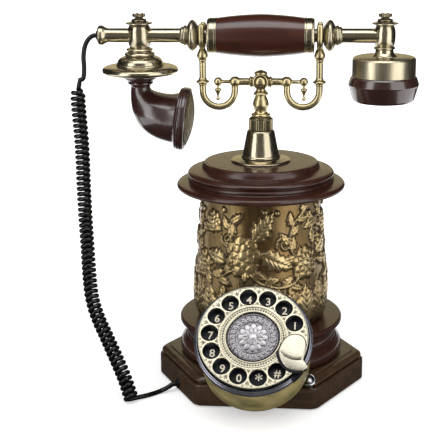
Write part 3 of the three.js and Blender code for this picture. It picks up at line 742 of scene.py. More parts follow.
def brass(name, polish, along=(1, 1, 1), roughness=0.19, patina=1.0, reach=0.0035, metal=1.0, mottle=0.80):
    """Antique brass: polished faces, brown in the hollows, paler where edges are rubbed."""
    finish = bpy.context.scene.telephone_finish
    material, tree, shader = new_material(name)
    recess, edge = recess_and_edge(tree, reach, 0.25, 0.0006)
    inputs = {"Vector": object_place(tree), "Along": along, "Depth": 0.22}
    brushed = placed_group(tree, "Brushed Lines", inputs)
    cloud = ramp(tree, noise(tree, 55.0, 5.0), 0.35, 0.7)
    tone = mix_colour(tree, cloud, toned(polish, mottle), opaque(polish))
    tone = rubbed(tree, edge, 0.5, tone, toned(polish, 1.35))
    dirt_and_shade = ramp(tree, recess, 0.34, 0.82, 0.0, patina)
    lines = ramp(tree, brushed["Lines"], 0.3, 0.7, roughness - 0.04, roughness + 0.07)
    feed(tree, shader, {
        "Base Color": mix_colour(tree, dirt_and_shade, tone, opaque(finish.patina)),
        "Metallic": ramp(tree, dirt_and_shade, 0.0, 1.0, metal, 0.35 * metal),
        "Roughness": math_node(tree, "ADD", lines, math_node(tree, "MULTIPLY", dirt_and_shade, 0.25)),
        "Normal": brushed["Normal"],
    })
    return material


def lacquered_wood(name, scale, ground, vein, coat=0.35):
    """Dark stained wood under a thick gloss lacquer."""
    material, tree, shader = new_material(name)
    grain = placed_group(tree, "Close Wood Grain", {"Vector": object_place(tree, scale), "Scale": 38.0})
    recess, edge = recess_and_edge(tree, 0.004, 0.2, 0.0012)
    veins = math_node(tree, "MULTIPLY", grain["Grain"], 0.6)
    pores = math_node(tree, "MULTIPLY", grain["Pores"], 0.35)
    tone = mix_colour(tree, veins, opaque(ground), opaque(vein))
    tone = mix_colour(tree, pores, tone, opaque((0.008, 0.003, 0.002)))
    # Orange along the edges: a painted glint of the lacquer.
    tone = rubbed(tree, edge, 0.45, tone, opaque((0.30, 0.095, 0.025)))
    # Near black in the grooves and hollows: painted shade.
    dirt_and_shade = ramp(tree, recess, 0.4, 0.9, 0.0, 0.8)
    feed(tree, shader, {
        "Base Color": mix_colour(tree, dirt_and_shade, tone, opaque((0.01, 0.004, 0.003))),
        "Normal": bumped(tree, noise(tree, 45.0, 1.0), 0.12, 0.0004),
        "Roughness": ramp(tree, grain["Pores"], 0.0, 1.0, 0.30, 0.42),
        "Specular IOR Level": 0.35,
        "Coat Weight": coat,
        "Coat Roughness": 0.10,
    })
    return material


def gloss_moulding(name, base):
    """Moulded dark plastic with faint flow marks and a polished skin."""
    material, tree, shader = new_material(name)
    flow = noise(tree, 70.0, 4.0, object_place(tree, (1, 1, 0.3)))
    edge = recess_and_edge(tree, 0.003, 0.2, 0.0009)[1]
    tone = mix_colour(tree, ramp(tree, flow, 0.3, 0.7), toned(base, 0.75), toned(base, 1.3))
    feed(tree, shader, {
        "Base Color": rubbed(tree, edge, 0.4, tone, toned(base, 3.2)),
        "Roughness": ramp(tree, flow, 0.3, 0.7, 0.20, 0.30),
        "Specular IOR Level": 0.7,
        "Coat Weight": 0.8,
        "Coat Roughness": 0.08,
    })
    return material


def relief_gold(name):
    """Resin painted old gold: streaked ground, dark wash beside what is raised, high places paler as rubbed
    wear and painted highlight, painted highlights along the edges.
    """
    finish = bpy.context.scene.telephone_finish
    material, tree, shader = new_material(name)
    height, shade = attribute(tree, "carving"), attribute(tree, "shade")
    recess, edge = recess_and_edge(tree, 0.0030, 0.45, 0.0008)
    streak = noise(tree, 80.0, 8.0, object_place(tree, (1, 1, 0.16)), Roughness=0.68)
    patch = ramp(tree, noise(tree, 28.0, 3.0), 0.35, 0.75, 0.0, 0.6)
    dark, low, mid, pale = (toned(finish.gold, level) for level in (0.12, 0.36, 0.52, 1.45))
    ground = mix_colour(tree, ramp(tree, streak, 0.36, 0.66), dark, mid)
    ground = mix_colour(tree, patch, ground, opaque((0.27, 0.145, 0.040)))
    raised = mix_colour(tree, ramp(tree, streak, 0.3, 0.7), low, pale)
    tone = mix_colour(tree, ramp(tree, height, 0.20, 0.60), ground, raised)
    # Paler on the highest places: rubbed wear and a painted highlight.
    tone = mix_colour(tree, ramp(tree, height, 0.70, 0.98, 0.0, 0.6), tone, opaque((0.70, 0.60, 0.36)))
    # Whiter along the edges: a painted highlight.
    tone = rubbed(tree, edge, 0.55, tone, opaque((0.88, 0.82, 0.62)))
    hollow = ramp(tree, recess, 0.34, 0.74, 0.0, 0.9)
    dirt_and_shade = math_node(tree, "MAXIMUM", hollow, ramp(tree, shade, 0.12, 0.40, 0.0, 0.86))
    feed(tree, shader, {
        "Base Color": mix_colour(tree, dirt_and_shade, tone, opaque(finish.wash)),
        "Metallic": ramp(tree, dirt_and_shade, 0.0, 1.0, 0.88, 0.05),
        "Roughness": ramp(tree, dirt_and_shade, 0.0, 1.0, 0.28, 0.6),
        "Normal": bumped(tree, noise(tree, 1400.0, 2.0), 0.25, 0.0001),
    })
    return material


def engraved(name, face, dark, roughness, depth_low, depth_high):
    """Metal whose carved ground is blackened and whose high places are polished."""
    material, tree, shader = new_material(name)
    height, shade = attribute(tree, "carving"), attribute(tree, "shade")
    recess = recess_and_edge(tree, 0.0016, 0.4, 0.0005)[0]
    cloud = noise(tree, 180.0, 5.0)
    tone = mix_colour(tree, ramp(tree, cloud, 0.3, 0.7), toned(face, 0.82), toned(face, 1.12))
    tone = mix_colour(tree, ramp(tree, height, depth_low, depth_high), toned(face, 0.45), tone)
    hollow = ramp(tree, recess, 0.35, 0.8, 0.0, 0.85)
    dirt_and_shade = math_node(tree, "MAXIMUM", hollow, ramp(tree, shade, 0.15, 0.45, 0.0, 0.9))
    feed(tree, shader, {
        "Base Color": mix_colour(tree, dirt_and_shade, tone, opaque(dark)),
        "Metallic": ramp(tree, dirt_and_shade, 0.0, 1.0, 0.95, 0.4),
        "Roughness": ramp(tree, cloud, 0.3, 0.7, roughness - 0.05, roughness + 0.08),
    })
    return material


def plain(name, base, roughness, metallic=0.0, grain=400.0, depth=0.1, coat=0.0, specular=0.5):
    """A surface with fine moulding marks and a slightly uneven tone."""
    material, tree, shader = new_material(name)
    cloud = noise(tree, grain * 0.2, 4.0)
    feed(tree, shader, {
        "Base Color": mix_colour(tree, ramp(tree, cloud, 0.3, 0.7), toned(base, 0.8), toned(base, 1.15)),
        "Roughness": ramp(tree, cloud, 0.3, 0.7, roughness * 0.85, roughness * 1.15),
        "Normal": bumped(tree, noise(tree, grain * 2.0, 2.0), depth, 0.0001),
        "Metallic": metallic,
        "Specular IOR Level": specular,
        "Coat Weight": coat,
        "Coat Roughness": 0.1,
    })
    return material


@functools.cache
def finishes():
    """Every material of the telephone by name, made when they are first asked for."""
    finish = bpy.context.scene.telephone_finish
    return {
        "brass": brass("antique_brass", finish.brass, along=(1, 1, 0.12)),
        "brass_long": brass("antique_brass_drawn", finish.brass, along=(0.05, 1, 1)),
        "brass_pale": brass("pale_brass", (0.60, 0.51, 0.285), roughness=0.31, reach=0.0018),
        "brass_soft": brass("brushed_brass", finish.brass, along=(1, 1, 0.06), roughness=0.29),
        "engraving": plain("dark_engraving", (0.20, 0.175, 0.130), 0.40, metallic=0.7),
        "brass_dark": brass("dark_brass", (0.23, 0.19, 0.12), roughness=0.30),
        "wood": lacquered_wood("turned_wood", (1, 1, 2.2), finish.wood, finish.wood_vein),
        "wood_plinth": lacquered_wood(
            "plinth_wood", (0.35, 2.0, 2.0), (0.066, 0.036, 0.017), (0.027, 0.013, 0.006)
        ),
        "wood_grip": lacquered_wood(
            "grip_wood", (0.25, 2.0, 2.0), (0.052, 0.011, 0.004), (0.028, 0.007, 0.003), coat=0.7
        ),
        "horn": gloss_moulding("moulded_horn", finish.horn),
        "relief": relief_gold("relief_gold"),
        "wheel": brass("engraved_wheel", (0.47, 0.44, 0.335), roughness=0.29, patina=0.7, reach=0.0012),
        "stop": brass("stop_brass", (0.45, 0.425, 0.34), roughness=0.27, patina=0.08, reach=0.0012),
        "medallion": engraved("medallion_silver", finish.silver, (0.05, 0.05, 0.06), 0.30, 0.1, 0.75),
        "drum": brass("drum_gold", (0.58, 0.48, 0.20), roughness=0.38, patina=0.8, metal=0.3, mottle=0.40),
        "ring": plain("dial_ring_paint", finish.ring, 0.24, metallic=0.8, coat=0.3),
        "plate": plain("plate_black", (0.006, 0.007, 0.010), 0.42, specular=0.12),
        "digits": plain("digit_paint", finish.digits, 0.55),
        "chrome": plain("button_chrome", (0.36, 0.36, 0.38), 0.12, metallic=1.0, depth=0.02),
        "cord": plain("cord_jacket", finish.cord, 0.24, grain=900.0, depth=0.06, specular=0.35),
        "steel": plain("plain_steel", (0.42, 0.43, 0.45), 0.42, metallic=1.0),
        "felt": plain("felt", (0.022, 0.020, 0.018), 0.95, grain=1500.0, depth=0.8),
        "board": plain("circuit_board", (0.02, 0.09, 0.035), 0.45),
        "cream": plain("jack_cream", (0.72, 0.66, 0.52), 0.35),
    }


def painted(made, finish):
    """Gives a piece a material and no other."""
    made.data.materials.clear()
    made.data.materials.append(finishes()[finish])


def dressed(made, finish, body, slot, *replaced):
    """Gives a piece its material, the body that it rides on and the frame nodes that it stands for."""
    painted(made, finish)
    if body:
        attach(made, body)
    if replaced:
        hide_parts(*replaced)
    return made


# ---- Plinth and tower ----------------------------------------------------------------------------


# The plinth's wall from its underside to its top: inset, height and, where one is given, rounding.
PLINTH_WALL = [
    (3.0, PLINTH_BOTTOM + 1.6), (3.0, PLINTH_BOTTOM), (0.0, PLINTH_BOTTOM, 0.7), (0.0, 18.0, 1.0),
    (1.5, 18.7, 0.3), (2.9, 18.9), (2.9, 20.5), (1.2, 20.7, 0.3), (1.5, 22.6, 1.4), (3.8, 24.4, 1.6),
    (6.6, 25.0, 0.3), (6.9, 24.6), (7.3, 24.6), (7.6, PLINTH_TOP, 0.3), (12.0, PLINTH_TOP),
]


def stretched(x, y, z=0.0):
    """Stretches what is selected in edit mode away from the middle axis."""
    bpy.ops.transform.resize(value=(x, y, 1), center_override=(0, 0, z))


def plinth():
    """The hexagonal plinth: a straight wall, a dark groove and a rounded moulding up to its top."""
    deselect()
    bpy.ops.mesh.primitive_circle_add(vertices=6, radius=PLINTH_SIDE_X * MM, rotation=(0, 0, math.pi / 6))
    made = named("plinth")
    bpy.ops.object.transform_apply(location=True, rotation=True, scale=True)
    edit()
    bpy.ops.mesh.select_all(action="SELECT")
    stretched(1, PLINTH_FRONT_Y / (PLINTH_SIDE_X * math.sin(math.pi / 3)))
    select_where(made, lambda v: abs(v.co.y) > 0.01)
    stretched(PLINTH_FRONT_X * 2 / PLINTH_SIDE_X, 1)
    bpy.ops.mesh.select_all(action="SELECT")
    bpy.ops.mesh.bevel(offset=5.0 * MM, segments=6, affect="VERTICES")
    bpy.ops.mesh.select_all(action="SELECT")
    levels = [(1 - level.x / PLINTH_REACH, level.y * MM) for level in rounded(PLINTH_WALL)]
    size, height = levels[0]
    stretched(size, size)
    bpy.ops.transform.translate(value=(0, 0, height))
    bpy.ops.mesh.edge_face_add()
    select_where(made, lambda e: len(e.link_faces) == 1, "edges")
    for (size, height), (next_size, next_height) in zip(levels, levels[1:]):
        bpy.ops.mesh.extrude_edges_move(TRANSFORM_OT_translate={"value": (0, 0, next_height - height)})
        stretched(next_size / size, next_size / size, next_height)
    bpy.ops.mesh.edge_face_add()
    sealed(MERGE)
    return smoothed(made, 30)


class TELEPHONE_OT_plinth(bpy.types.Operator):
    """Model the hexagonal wooden plinth"""

    bl_idname = "telephone.plinth"
    bl_label = "Plinth"

    def execute(self, context):
        dressed(plinth(), "wood_plinth", "base", "dark_wood", "plinth_shell")
        return {"FINISHED"}


class TELEPHONE_OT_turned_wood(bpy.types.Operator):
    """Turn the pedestal ring under the barrel and the tiered crown over it"""

    bl_idname = "telephone.turned_wood"
    bl_label = "Pedestal and Crown"

    def execute(self, context):
        sides = context.scene.telephone_shape.turning_sides
        pedestal = [
            (44, PLINTH_TOP), (63.6, PLINTH_TOP), (64.4, 26.6),
            *bow((64.9, 27.2), (66.1, 30.4), (65.3, 35.2), (62.0, 39.2)), (60.9, 39.9, 0.3),
            (60.9, 41.3, 0.3), *bow((60.0, 41.9), (59.5, 45.0), (60.6, 48.6), (64.2, 51.6)),
            (65.3, 52.0, 0.2), (66.0, 52.7, 0.3), (66.1, 55.4, 0.8), (64.9, PEDESTAL_TOP, 0.8),
            (44, PEDESTAL_TOP),
        ]
        dressed(turned("pedestal", pedestal, sides), "wood", "base", "dark_wood", "pedestal_moulding")
        crown = [
            (7.5, BARREL_TOP), (62.6, BARREL_TOP),
            *bow((63.6, 162.6), (66.4, 163.7), (67.0, 165.6), (65.9, 167.4), (63.6, 168.2)),
            (60.6, 168.4, 0.4), (58.4, 168.6, 0.6),
            *bow((57.8, 169.2), (58.3, 170.4), (57.9, 171.7), (56.9, 172.4), steps=4), (56.5, 172.9, 0.1),
            *bow((56.9, 173.2), (58.0, 174.2), (58.0, 175.6), (57.0, 176.7), steps=4), (54.6, 177.5, 0.5),
            (48.6, 178.3, 0.6), (46.9, 179.0, 0.8), (46.2, 181.6, 0.8), (45.0, 183.6, 0.8),
            (43.2, CROWN_TOP, 0.5), (7.5, CROWN_TOP),
        ]
        dressed(turned("crown", crown, sides), "wood", "base", "dark_wood", "crown_top")
        return {"FINISHED"}


# The barrel's outside, and its relief: millimetres round the barrel from its front, and up.
BARREL_SURFACE = [
    (49.2, PEDESTAL_TOP), (51.9, 66), (53.1, 77), (53.0, 89), (52.1, 101), (51.0, 113), (50.1, 125),
    (49.2, 138), (48.5, 150), (48.2, BARREL_TOP),
]
BARREL_ROUND = 344.0

# Blossoms by place and radius, and leaves by place, heading, length and width.
BLOSSOMS = [(-12, 119, 16), (-56, 107, 12.5), (44, 111, 13.5), (-42, 143, 9.5), (76, 139, 10)]
LEAVES = [(58, 116, 40, 24, 13), (-27, 113, 160, 20, 12), (3, 121, -26, 30, 14), (-3, 131, 50, 28, 14)]
FOOT_LEAVES = 6

# Stems by the points that they pass, tendrils by place, radius, start angle and hand, and berries by place.
STEMS = [
    [(-86, 92), (-74, 98), (-56, 107), (-38, 100), (-22, 106), (-12, 119)],
    [(-12, 119), (0, 100), (22, 94), (36, 100), (44, 111)],
    [(86, 92), (74, 100), (66, 116), (70, 130), (76, 139)],
    [(-56, 107), (-66, 124), (-58, 138), (-42, 143)],
    [(44, 111), (30, 122), (30, 138), (40, 150), (52, 151)],
    [(76, 139), (60, 146), (52, 136)],
    [(-12, 119), (-24, 134), (-22, 148)],
]
TENDRILS = [
    (24, 128, 7, 200, -1), (-76, 126, 7, 20, 1), (58, 131, 6, 70, 1), (-26, 131, 6, 160, 1),
    (84, 118, 7, 250, -1),
]
BERRIES = [
    (12, 150), (18, 153), (7, 154), (-58, 150), (-64, 146), (-66, 152), (62, 154), (68, 156), (-30, 154),
    (84, 152),
]


def barrel_carving(corners):
    """Foot leaves, and vines with blossoms and leaves over them, the same twice, front and back."""
    angle = np.arctan2(corners[:, 0], -corners[:, 1])
    sheet = Carving(angle / (2 * math.pi) * BARREL_ROUND, corners[:, 2], wrap=BARREL_ROUND / 2)
    step = BARREL_ROUND / 2 / FOOT_LEAVES
    for i in range(FOOT_LEAVES * 3):
        root = (i * step / 3, 70 + 3 * math.sin(i * 2.3))
        sheet.leaf(root, 90 + 16 * math.sin(i * 1.9), 26, 8, top=0.55, lobes=5)
    for i in range(FOOT_LEAVES):
        sheet.leaf((i * step, 57), 90, 42, 14, top=0.75, lobes=6)
    for i in range(FOOT_LEAVES):
        sheet.leaf(((i + 0.5) * step, 57), 90, 38, 23, lobes=5)
    for number, stem in enumerate(STEMS):
        line = bow(*stem, steps=24)
        travelled, count = 3.0, number
        for a, b in zip(line, line[1:]):
            travelled += math.dist(a, b)
            if travelled > 6.5:
                travelled = 0.0
                side = 1 if count % 2 else -1
                heading = math.degrees(math.atan2(b[1] - a[1], b[0] - a[0])) + side * 50
                sheet.leaf(a, heading, 13.5, 7.5, top=0.8, bend=-0.18 * side)
                count += 1
        sheet.vine(stem, 2.6)
    for across, z, radius, start, hand in TENDRILS:
        sheet.spiral((across, z), radius, 1.5, start, 1.9, hand=hand)
    for across, z, heading, length, width in LEAVES:
        sheet.leaf((across, z), heading, length * 1.06, width * 1.06, lobes=5, bend=0.05)
    for number, (across, z, radius) in enumerate(BLOSSOMS):
        sheet.blossom((across, z), radius, 7 + number % 3, turn=17 * number)
    for across, z in BERRIES:
        sheet.ball((across, z), 2.3, 0.75)
    fade = np.clip((BARREL_TOP - 2.5 - corners[:, 2]) / 3.0, 0, 1)
    outer = np.hypot(corners[:, 0], corners[:, 1]) > 47
    return sheet.height * fade * outer


class TELEPHONE_OT_barrel(bpy.types.Operator):
    """Model the barrel and raise its relief of vines and blossoms"""

    bl_idname = "telephone.barrel"
    bl_label = "Relief Barrel"

    def execute(self, context):
        shape = context.scene.telephone_shape
        outline = [(45.5, PEDESTAL_TOP), *bow(*BARREL_SURFACE, steps=19), (44.5, BARREL_TOP)]
        made = turned("relief_barrel", outline, shape.relief_sides)
        swing, lift = 0.75 / 52, 0.7
        nudges = [Matrix.Rotation(side * swing, 4, "Z") for side in (1, -1)]
        nudges += [Matrix.Translation((0, 0, side * lift)) for side in (1, -1)]
        carve(made, barrel_carving, shape.relief_height, nudges)
        applied(made, "SMOOTH", factor=0.5, iterations=2)
        smoothed(made, 180)
        dressed(made, "relief", "base", "gold_relief", "barrel_shell")
        return {"FINISHED"}


class TELEPHONE_OT_column(bpy.types.Operator):
    """Turn the brass disc, the cone and the knurled collar on the crown"""

    bl_idname = "telephone.column"
    bl_label = "Column"

    def execute(self, context):
        disc = [
            (6, CROWN_TOP), (23.4, CROWN_TOP, 0.3), (23.7, 185.0, 0.5), (22.6, 185.7, 0.4),
            *bow((20.5, 186.0), (17.6, 186.6), (15.0, CONE_LOW)), (6, CONE_LOW),
        ]
        dressed(turned("escutcheon", disc, 96), "brass", "base", "brass", "escutcheon_disc")
        cone = [
            (6, CONE_LOW), (14.8, CONE_LOW, 0.3), *bow((15.2, 187.3), (15.5, 188.0), (15.1, 188.8), steps=4),
            (14.5, 189.2, 0.3), (14.2, 190.2), (10.9, 207.6, 0.5), (10.2, CONE_TOP, 0.4), (6, CONE_TOP),
        ]
        dressed(turned("cone", cone, 96), "brass", "base", "brass", "column_cone")
        collar = [
            (6, CONE_TOP), (8.1, CONE_TOP), (8.9, CONE_TOP + 0.7, 0.2), (8.9, COLLAR_TOP - 1.7, 0.2),
            (8.2, COLLAR_TOP - 1.1, 0.1), (8.5, COLLAR_TOP - 0.7, 0.2), (8.3, COLLAR_TOP, 0.3),
            (6, COLLAR_TOP),
        ]
        ribs = context.scene.telephone_shape.collar_ribs
        made = turned("collar", collar, ribs * 4)

        def knurl(corners):
            out = np.hypot(corners[:, 0], corners[:, 1])
            angle = np.arctan2(corners[:, 1], corners[:, 0])
            straight = (corners[:, 2] > CONE_TOP + 0.5) & (corners[:, 2] < COLLAR_TOP - 1.5) & (out > 8.6)
            return np.where(straight, 0.5 + 0.5 * np.cos(angle * ribs), 0.0)

        carve(made, knurl, 0.7 * MM)
        smoothed(made, 40)
        dressed(made, "brass_dark", "base", "brass", "knurled_collar")
        return {"FINISHED"}


# ---- Dial ----------------------------------------------------------------------------------------


class TELEPHONE_OT_dial_housing(bpy.types.Operator):
    """Turn the dial's drum and ring, and set the digits on its plate"""

    bl_idname = "telephone.dial_housing"
    bl_label = "Dial Housing"

    def execute(self, context):
        sides = context.scene.telephone_shape.turning_sides
        drum = [
            (0, -40), (41.2, -40, 0.6), (42.0, -39, 0.4), (42.0, -5.2, 0.3), (41.2, -4.0), (38.6, -4.0),
            (38.6, -38), (0, -38),
        ]
        dressed(turned("drum", drum, sides, DIAL), "drum", "base", "dial_gold", "dial_drum")
        ring = [
            (38, -4.0), (42.6, -4.0, 0.5), (44.2, -2.8, 0.6), (45.0, -0.4, 0.8), (44.6, 1.9, 0.6),
            (43.6, 2.4, 0.2), (43.4, 3.2, 0.3), (42.5, 3.6, 0.3), (42.2, 2.8, 0.2), (42.2, -1.2), (38, -1.2),
        ]
        dressed(turned("dial_rim", ring, sides, DIAL), "ring", "base", "ring_blue", "dial_ring")
        plate = [(3.4, -0.8), (42.1, -0.8), (42.1, 0.5), (41.7, 0.8), (3.4, 0.8)]
        dressed(turned("number_disc", plate, sides, DIAL), "plate", "base", "dial_black", "number_plate")
        size = context.scene.telephone_shape.digit_size
        marks = []
        for i, digit in enumerate(DIGITS):
            angle = HOLE_FIRST + i * HOLE_STEP
            deselect()
            bpy.ops.object.text_add()
            mark = named("digit_" + str(i))
            mark.data.body = digit
            mark.data.size = size * (1.5 if digit == "*" else 1.0)
            mark.data.align_x = mark.data.align_y = "CENTER"
            mark.data.extrude = mark.data.offset = 0.12 * MM
            mark.data.resolution_u = 4
            bpy.ops.object.convert(target="MESH")
            spot = at(HOLE_CIRCLE * math.cos(angle) + 0.3, HOLE_CIRCLE * math.sin(angle) + 0.1, 0.9)
            marks.append(placed(bpy.context.object, DIAL @ spot))
        dressed(joined("digits", marks), "digits", "base", "jack_cream")
        return {"FINISHED"}


def wheel_ornament():
    """One pair of scrolls with leaves between two finger holes, standing about the +X axis of the dial."""
    face = WHEEL_GROUND
    pieces = []

    def stroke(points, thickness):
        pieces.append(bar("stroke", [(x, y, face) for x, y in points], thickness, sides=8, rounding=2))

    def spiral(x, y, radius, start, hand, thickness=0.30):
        turns = [(math.radians(start) + hand * k * 0.62, radius * (1 - k / 13)) for k in range(11)]
        stroke([(x + size * math.cos(a), y + size * math.sin(a)) for a, size in turns], thickness)

    stroke([(35.4, 0), (37.6, 0), (40.0, 0)], [0.25, 0.62, 0.2])
    stroke([(29.2, 0), (27.4, 0), (25.9, 0)], [0.25, 0.62, 0.2])
    for hand in (-1, 1):
        stroke([(35.9, 0.1 * hand), (37.6, 1.0 * hand), (39.3, 1.6 * hand)], [0.3, 0.45, 0.2])
        spiral(39.1, 3.3 * hand, 0.95, -90 * hand, hand)
        stroke([(28.6, 0.1 * hand), (27.3, 0.9 * hand), (26.0, 1.5 * hand)], [0.3, 0.45, 0.2])
        spiral(26.3, 3.0 * hand, 0.85, 90 * hand + 180, hand)
    made = joined("wheel_ornament", pieces)
    placed(made, Matrix.Translation((0, 0, face * 0.7 * MM)) @ Matrix.Diagonal((1, 1, 0.3, 1)))
    return smoothed(made, 60)


class TELEPHONE_OT_finger_wheel(bpy.types.Operator):
    """Model the finger wheel with its holes, scrolls and beads"""

    bl_idname = "telephone.finger_wheel"
    bl_label = "Finger Wheel"

    def execute(self, context):
        shape = context.scene.telephone_shape
        inner, face = MEDALLION_RADIUS + 0.6, WHEEL_GROUND
        outline = [
            (inner, WHEEL_BACK), (41.0, WHEEL_BACK), (WHEEL_RADIUS, WHEEL_BACK + 0.5),
            (WHEEL_RADIUS, face - 0.2), (41.3, face + 0.35, 0.3), (40.8, face + 0.35, 0.3), (40.5, face),
            (25.2, face), (24.9, face + 0.35, 0.2), (24.4, face + 0.35, 0.2), (24.1, face - 0.4),
            (21.6, face - 0.4), (21.3, face + 0.35, 0.2), (20.6, face + 0.35, 0.2), (inner, face - 0.2),
        ]
        made = turned("wheel", outline, 180)
        deep = face - WHEEL_BACK
        bore = [
            (0, -6), (HOLE_RADIUS, -6), (HOLE_RADIUS, deep - 0.3), (HOLE_RADIUS + 0.7, deep + 0.4), (0, 4)
        ]
        first = turned("drill", bore, 72, at(HOLE_CIRCLE, 0, WHEEL_BACK))
        drill = joined("drill", ring_of(first, [HOLE_FIRST + i * HOLE_STEP for i in range(len(DIGITS))]))
        applied(made, "BOOLEAN", object=drill, operation="DIFFERENCE", solver="EXACT")
        bpy.data.objects.remove(drill)
        smoothed(made, 35)
        between = [HOLE_FIRST + (i - 0.5) * HOLE_STEP for i in range(len(DIGITS) + 1)]
        scrolls = joined("wheel_scrolls", ring_of(wheel_ornament(), between))
        dressed(placed(scrolls, DIAL), "engraving", "dial", "brass")
        deselect()
        bpy.ops.mesh.primitive_uv_sphere_add(segments=10, ring_count=6, radius=0.85 * MM)
        bead = smoothed(placed(bpy.context.object, at(22.85, 0, face - 0.30)), 60)
        beads = ring_of(bead, [2 * math.pi * i / shape.wheel_beads for i in range(shape.wheel_beads)])
        made = placed(joined("wheel", [made, *beads]), DIAL)
        dressed(made, "wheel", "dial", "brass", "finger_wheel")
        return {"FINISHED"}


def medallion_carving(corners):
    """A rosette in rings: petals, a band of small leaves and a rope edge."""
    x, y, z = seen_from(DIAL, corners).T
    out, angle = np.hypot(x, y), np.arctan2(y, x)
    sheet = Carving(x, y)
    petals = bpy.context.scene.telephone_shape.rosette_petals
    for i in range(24):
        turn = i * 15.0
        sheet.leaf(on_circle(13.9, turn), turn + 32, 3.2, 1.7, top=0.7, lobes=2)
        sheet.ball(on_circle(17.0, turn + 7.5), 0.5, 0.6)
    sheet.blossom((0, 0), 11.6, petals, top=0.95)
    sheet.ring(12.2, 13.0, 0.6)
    rope = 0.55 + 0.35 * np.cos(angle * 90 + out * 4)
    sheet.lay((out > 18.0) & (out < 19.3), rope)
    return sheet.height * (z > MEDALLION_FACE - 0.6)


class TELEPHONE_OT_medallion(bpy.types.Operator):
    """Model the rosette medallion in the middle of the finger wheel"""

    bl_idname = "telephone.medallion"
    bl_label = "Dial Medallion"

    def execute(self, context):
        back = WHEEL_BACK - 0.3
        face = MEDALLION_FACE
        rings = 50
        top = [(18.9 - 18.9 * i / rings, face + 0.5 * (i / rings) ** 2) for i in range(rings + 1)]
        side = [(22, back), (MEDALLION_RADIUS, back), (MEDALLION_RADIUS, face - 0.3)]
        outline = [(0, 2.6), (22, 2.6), *side, *top]
        made = turned("medallion", outline, 320, DIAL)
        moves = ((0.3, 0, 0), (-0.3, 0, 0), (0, 0.3, 0), (0, -0.3, 0))
        nudges = [Matrix.Translation(DIAL_AXES @ Vector(move)) for move in moves]
        carve(made, medallion_carving, 0.8 * MM, nudges)
        smoothed(made, 60)
        dressed(made, "medallion", "dial", "medallion_silver", "wheel_medallion")
        # A black ring in the groove round the medallion: painted shade.
        edge, low, high = MEDALLION_RADIUS + 0.1, face - 0.5, face + 0.04
        shade_ring = [(edge - 0.7, low), (edge, low), (edge, high), (edge - 0.7, high)]
        dressed(turned("medallion_washer", shade_ring, 120, DIAL), "plate", "dial", "dial_black")
        return {"FINISHED"}


# The finger stop on the dial, seen along its axis: the outlines of its lip and of its plate.
STOP_LIP = [
    (19.6, -11.6), (22.0, -9.0), (30.0, -10.0), (37.4, -14.0), (38.6, -18.2), (40.0, -19.8), (40.6, -22.3),
    (39.4, -25.0), (36.2, -26.9), (30.6, -26.4), (25.5, -23.4), (21.6, -18.2),
]
STOP_PLATE = [
    (19.7, -11.4), (20.8, -6.6), (24.4, -0.6), (29.9, 2.6), (36.4, 1.6), (39.8, -3.2), (39.8, -9.6),
    (38.2, -16.6), (35.4, -18.5), (30.6, -18.4), (26.4, -17.0), (22.4, -14.8),
]


def leaf_plate(name, outline, low, rises):
    """A thin plate standing at a height over the dial, raised in steps of (inset, rise)."""
    edge = bow(*outline[-2:], *outline, *outline[:2], steps=6)
    loop = edge[6 * 2 : 6 * (len(outline) + 2)]
    deselect()
    bpy.ops.mesh.primitive_circle_add(vertices=len(loop), radius=20 * MM, fill_type="NGON")
    made = named(name)
    edit()
    for corner, (x, y) in zip(bmesh.from_edit_mesh(made.data).verts, loop):
        corner.co = Vector((x, y, low)) * MM
    bmesh.update_edit_mesh(made.data)
    bpy.ops.mesh.select_all(action="SELECT")
    bpy.ops.mesh.normals_make_consistent(inside=False)
    for inset, rise in rises:
        if inset:
            bpy.ops.mesh.inset(thickness=inset * MM)
            bpy.ops.transform.translate(value=(0, 0, rise * MM))
        else:
            bpy.ops.mesh.extrude_region_move(TRANSFORM_OT_translate={"value": (0, 0, rise * MM)})
    sealed()
    return made


def finger_stop():
    """The bright plate over the wheel's right side, the lip under it for the finger, and its foot."""
    lip = leaf_plate("stop_lip", STOP_LIP, 7.4, ((0, 0.5), (0.3, 0.25), (0.7, 0.15)))
    plate = leaf_plate("stop_plate", STOP_PLATE, 7.8, ((0, 0.5), (0.3, 0.3), (0.8, 0.25), (2.2, 0.12)))
    foot = turned("stop_foot", [(0, 3.4), (2.4, 3.4), (2.4, 7.5, 0.3), (0, 7.7)], 32, at(39.0, -23.0, 0))
    return smoothed(placed(joined("stop", [lip, plate, foot]), DIAL), 40)


def stop_block():
    """The black block under the stop, where the ring breaks off."""
    made = point_in_edit("stop_block", 41.9, -1.0)
    for step in ((3.5, 0, 0), (0, 0, 4.4), (-0.6, 0, 0.6), (-2.9, 0, 0), (0, 0, -5.0)):
        bpy.ops.mesh.extrude_vertices_move(TRANSFORM_OT_translate={"value": Vector(step) * MM})
    bpy.ops.mesh.select_all(action="SELECT")
    bpy.ops.mesh.remove_doubles(threshold=MERGE_TURNED)
    bpy.ops.mesh.edge_face_add()
    bpy.ops.transform.rotate(value=math.radians(33), orient_axis="Z", center_override=(0, 0, 0))
    bpy.ops.mesh.spin(steps=8, angle=math.radians(13.5), center=(0, 0, 0), axis=(0, 0, 1))
    sealed(MERGE_TURNED)
    return smoothed(placed(made, DIAL), 30)


class TELEPHONE_OT_finger_stop(bpy.types.Operator):
    """Model the finger stop over the right side of the wheel"""

    bl_idname = "telephone.finger_stop"
    bl_label = "Finger Stop"

    def execute(self, context):
        dressed(finger_stop(), "stop", "base", "brass", "finger_stop")
        # A black sheet reaching out from the lip's lower left edge: a painted shadow of the lip.
        edge = leaf_plate("stop_edge", [(x - 1.6, y - 1.3) for x, y in STOP_LIP], 7.1, ((0, 0.29),))
        dressed(joined("stop_block", [stop_block(), placed(edge, DIAL)]), "plate", "base", "dial_black")
        return {"FINISHED"}


# ---- Cradle --------------------------------------------------------------------------------------


